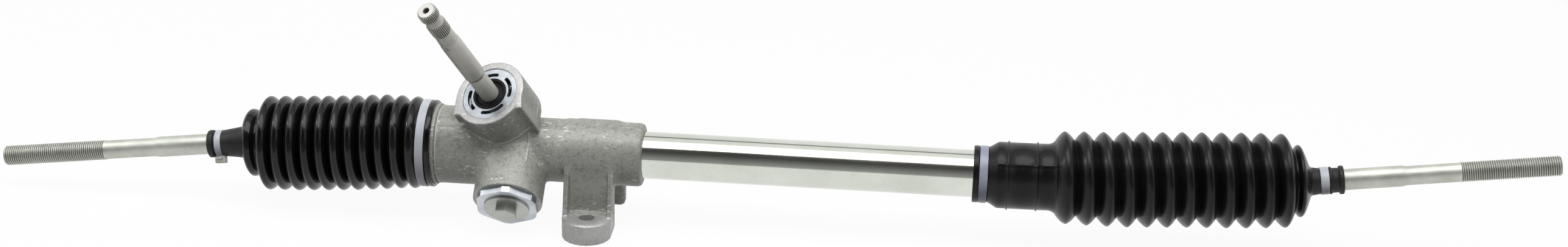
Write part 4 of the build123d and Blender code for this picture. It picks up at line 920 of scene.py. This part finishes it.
def cast_skin():
    """The housing as a fine even skin, with fillets, cast lines and worn edges, thinned to a light mesh."""
    base = show("housing_base", merged_copy("housing"))
    remesh = base.modifiers.new("cast_skin", "REMESH")
    remesh.mode = "VOXEL"
    remesh.voxel_size = CAST_GRAIN * MM
    mesh = baked(base)
    count = len(mesh.vertices)
    co = points_of(mesh)
    ends = read(mesh.edges, "vertices", 2).T
    corners = read(mesh.loops, "vertex_index", 1)[:, 0]
    quads = corners[read(mesh.polygons, "loop_start", 1) + np.arange(4)]
    degree = np.bincount(ends.ravel(), minlength=count)

    def gathered(at, values):
        return np.column_stack([np.bincount(at, values[:, axis], count) for axis in range(3)])

    def mean_step(values):
        total = gathered(ends[0], values[ends[1]]) + gathered(ends[1], values[ends[0]])
        return total / degree[:, None] - values

    def normals(values):
        a, b, c, d = (values[quads[:, step]] for step in range(4))
        cross = np.cross(c - a, d - b)
        total = sum(gathered(quads[:, step], cross) for step in range(4))
        return total / np.maximum(np.linalg.norm(total, axis=1), 1e-9)[:, None]

    def from_line(foot, way):
        rel = co - np.array(foot)
        reach = rel @ np.array(way)
        return reach, np.linalg.norm(rel - reach[:, None] * np.array(way), axis=1)

    tower_reach, tower_out = from_line(SHAFT_FOOT, SHAFT_WAY)
    boss_reach, boss_out = from_line(GUIDE_FOOT, GUIDE_WAY)
    axis_yz = np.array([0, AXIS_Z])
    bore_out = np.linalg.norm(co[:, 1:] - axis_yz, axis=1)
    fixed = (tower_out < TOWER_BORE_R) & (tower_reach > -40) | (boss_out < BOSS_BORE_R) & (boss_reach > 5)
    fixed |= (bore_out < RACK_BORE_R) | (tower_reach > TOWER_TOP - FACE_MARGIN)
    fixed |= (boss_reach > BOSS_FACE - FACE_MARGIN) | (co[:, 2] < FACE_MARGIN)
    free = (~fixed)[:, None].astype(float)
    co += FIRST_SOFTEN * mean_step(co) * free
    for _ in range(FILLET_STEPS):
        way = normals(co)
        lift = np.einsum("ij,ij->i", mean_step(co), way)
        co += FILLET_RATE * np.maximum(lift, 0)[:, None] * way * free
    co += LAST_SOFTEN * mean_step(co) * free
    way = normals(co)
    x, y, z = co.T
    around = np.degrees(np.arctan2(z - AXIS_Z, -y))
    ear_line = (np.abs(x + 42.5) < 0.55) & (y < -8) & (z > 53) & (z < 69)
    drum_line = (np.abs(around - 51) < 1.1) & (x > -108) & (x < -88) & (bore_out > 24)
    rim_line = (np.abs(x + 108.1) < 0.5) & (bore_out > 24) & (bore_out < 29)
    arc_line = (np.abs(tower_reach - 25) < 0.5) & (np.abs(tower_out - 25.3) < 1.0) & (y < 0)
    rise = EAR_RISE * ear_line + DRUM_RISE * drum_line + RIM_RISE * rim_line + ARC_RISE * arc_line
    co += rise[:, None] * way
    # The pad on top of the barrel is kept low and starts further right
    out = np.linalg.norm(co[:, 1:] - axis_yz, axis=1)
    pad = (np.abs(x) < 26) & (z > AXIS_Z + 8) & (y > -8) & (out > BAND_R)
    kept = BAND_R + (out - BAND_R) * PAD_SHARE * np.clip((x - PAD_LEFT) / PAD_RAMP, 0, 1)
    co[:, 1:] += np.where(pad, kept / out - 1, 0)[:, None] * (co[:, 1:] - axis_yz)
    # The two front corners of the rear foot are rounded, less so towards the barrel
    low_fade = np.clip((30 - z) / 8, 0, 1)
    for side in (-1, 1):
        off = co[:, :2] * (side, 1) - (REAR_FOOT_HALF - REAR_FOOT_ROUND, REAR_FOOT_FRONT + REAR_FOOT_ROUND)
        far = np.maximum(np.hypot(off[:, 0], off[:, 1]), REAR_FOOT_ROUND)
        corner = (off[:, 0] > 0) & (off[:, 0] < REAR_FOOT_ROUND + 1)
        corner &= (off[:, 1] < 0) & (off[:, 1] > -REAR_FOOT_ROUND - 4)
        pull = (corner * low_fade)[:, None] * (REAR_FOOT_ROUND / far - 1)[:, None] * off
        co[:, :2] += pull * (side, 1)
    mesh.vertices.foreach_set("co", (co * MM).ravel())
    mesh.update()
    ridge = np.clip(-np.einsum("ij,ij->i", mean_step(co), normals(co)) / WEAR_BEND - WEAR_START, 0, 1)
    worn_edge = mesh.attributes.new("worn_edge", "FLOAT", "POINT")
    worn_edge.data.foreach_set("value", (WEAR_SHARE * ridge).astype(np.float32))
    flat = (tower_reach > TOWER_TOP - MACHINED_MARGIN) & (tower_out < 60) | (boss_reach > BOSS_FACE - MACHINED_MARGIN)
    mesh.polygons.foreach_set("material_index", flat[quads].all(axis=1).astype(np.int32))
    full = show("housing_skin", mesh)
    thin = full.modifiers.new("thin_skin", "DECIMATE")
    thin.ratio = SKIN_TRIANGLES / (2 * len(mesh.polygons))
    rim = turned(DRUM_RIM, DRUM_RIM_AROUND, capped=False)
    rim.transform(along(Vector((0, 0, AXIS_Z)), RACK_WAY))
    shape = opened(baked(full))
    shape.from_mesh(rim)
    whole = written(shape, "housing_casting")
    piece = show("housing_casting", whole, CAST)
    whole.materials.append(MACHINED)
    smooth(whole)
    return piece


housing_piece = cast_skin()
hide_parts("housing")
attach(housing_piece, "housing")


# Camera, floor and studio light

CAMERA_PLACE = Vector((0.2519, -1.6744, 0.7566))
camera = bpy.data.objects.new("camera", bpy.data.cameras.new("camera"))
scene.collection.objects.link(camera)
camera_back = Vector((0.0654, -0.9251, 0.374)).normalized()
camera_right = Vector((0.9963, 0.0814, 0.027))
camera_right = (camera_right - camera_back * camera_right.dot(camera_back)).normalized()
camera_up = camera_back.cross(camera_right)
camera_turn = Matrix((camera_right, camera_up, camera_back)).transposed().to_4x4()
camera.matrix_world = Matrix.Translation(CAMERA_PLACE) @ camera_turn
camera.data.lens = 59.81
camera.data.sensor_width = 36.0
camera.data.clip_start = 0.01
scene.camera = camera


FLOOR_HALF, FLOOR_Z = 6, -0.0015
FLOOR_BOUNCE, FLOOR_SEEN = (0.15, 0.15, 0.146), (0.92, 0.92, 0.91)
FLOOR_WHITE_SHARE = 0.95
AMBIENT = (0.085, 0.085, 0.085)
WHITE = (1, 1, 1)
CARD_LOW_GLOW, CARD_HIGH_GLOW, CARD_FADE_TOP, CARD_DULL_SHARE = 0.40, 0.07, 1.8, 0.3


def studio_floor():
    mesh = bpy.data.meshes.new("floor")
    corners = [(x * FLOOR_HALF, y * FLOOR_HALF, FLOOR_Z) for x, y in ((-1, -1), (1, -1), (1, 1), (-1, 1))]
    mesh.from_pydata(corners, [], [(0, 1, 2, 3)])
    paper = bpy.data.materials.new("floor_paper")
    tree = ShaderTree(paper)
    nodes, links = tree.nodes, tree.links
    seen = tree.seen_or_mirrored()
    matt = nodes["Principled BSDF"]
    links.new(tree.mix(seen, FLOOR_BOUNCE, FLOOR_SEEN), matt.inputs["Base Color"])
    matt.inputs["Roughness"].default_value = 0.9
    glow = tree.node("Emission", Color=(*WHITE, 1), Strength=1.0)
    mix = tree.node("MixShader")
    share = tree.math("MULTIPLY", seen, FLOOR_WHITE_SHARE)
    for socket, source in zip(mix.inputs, (share, matt.outputs[0], glow.outputs[0])):
        links.new(source, socket)
    links.new(mix.outputs[0], nodes["Material Output"].inputs[0])
    show("studio_floor", mesh, paper)


def studio_world():
    world = bpy.data.worlds.new("studio")
    scene.world = world
    tree = ShaderTree(world)
    sky = tree.nodes["Background"].inputs
    tree.links.new(tree.mix(tree.seen_or_mirrored(), AMBIENT, WHITE), sky["Color"])
    sky["Strength"].default_value = 1.0


def front_card():
    """The dim room behind the camera, which shows only as the dark bands in bright metal and rubber."""
    corners = [(-2.8, -2.5, 0), (3.0, -2.5, 0), (3.0, -2.5, 1.3), (-2.8, -2.5, 1.3),
               (3.0, -1.45, 2.5), (-2.8, -1.45, 2.5),
               (-2.6, 1.04, 1.26), (3.0, 1.04, 1.26), (3.0, 0.88, 1.38), (-2.6, 0.88, 1.38),
               (-2.8, -0.7, 0), (-2.8, -0.7, 1.3), (3.0, -0.75, 0), (3.0, -0.75, 1.3)]
    front, leaning_top, rear_strip = (0, 1, 2, 3), (3, 2, 4, 5), (6, 7, 8, 9)
    left_wing, right_wing = (10, 0, 3, 11), (1, 12, 13, 2)
    mesh = bpy.data.meshes.new("front_card")
    mesh.from_pydata(corners, [], [front, leaning_top, rear_strip, left_wing, right_wing])
    felt = bpy.data.materials.new("front_card_felt")
    tree = ShaderTree(felt)
    split = tree.node("SeparateXYZ", Vector=tree.node("TexCoord").outputs["Object"])
    fade = tree.span(split.outputs["Z"], CARD_LOW_GLOW, CARD_HIGH_GLOW, 0.0, CARD_FADE_TOP)
    mirrored = tree.span(tree.node("LightPath").outputs["Is Glossy Ray"], CARD_DULL_SHARE, 1.0, 0.0, 1.0)
    glow = tree.node("Emission", Strength=tree.math("MULTIPLY", fade, mirrored))
    tree.links.new(glow.outputs[0], tree.nodes["Material Output"].inputs[0])
    card = show("front_card", mesh, felt)
    card.visible_camera = False


def soft_lamp(name, place, aim, size, power, mirrored=True):
    lamp = bpy.data.lights.new(name, "AREA")
    lamp.shape = "RECTANGLE"
    lamp.size, lamp.size_y = size
    lamp.energy = power
    holder = bpy.data.objects.new(name, lamp)
    turn = (Vector(aim) - Vector(place)).to_track_quat("-Z", "Y").to_matrix().to_4x4()
    holder.matrix_world = Matrix.Translation(place) @ turn
    holder.visible_glossy = mirrored
    scene.collection.objects.link(holder)


studio_floor()
studio_world()
front_card()
soft_lamp("overhead_softbox", (0.12, -0.30, 1.5), (0.12, 0, 0.05), (2.6, 0.9), 22)
soft_lamp("front_fill", (0.12, -0.80, 1.50), (0.12, 0, 0.05), (2.4, 0.6), 9, mirrored=False)
soft_lamp("left_lamp", (-1.60, 0.05, 0.92), (-0.1, 0, 0.05), (0.14, 0.22), 2.6)
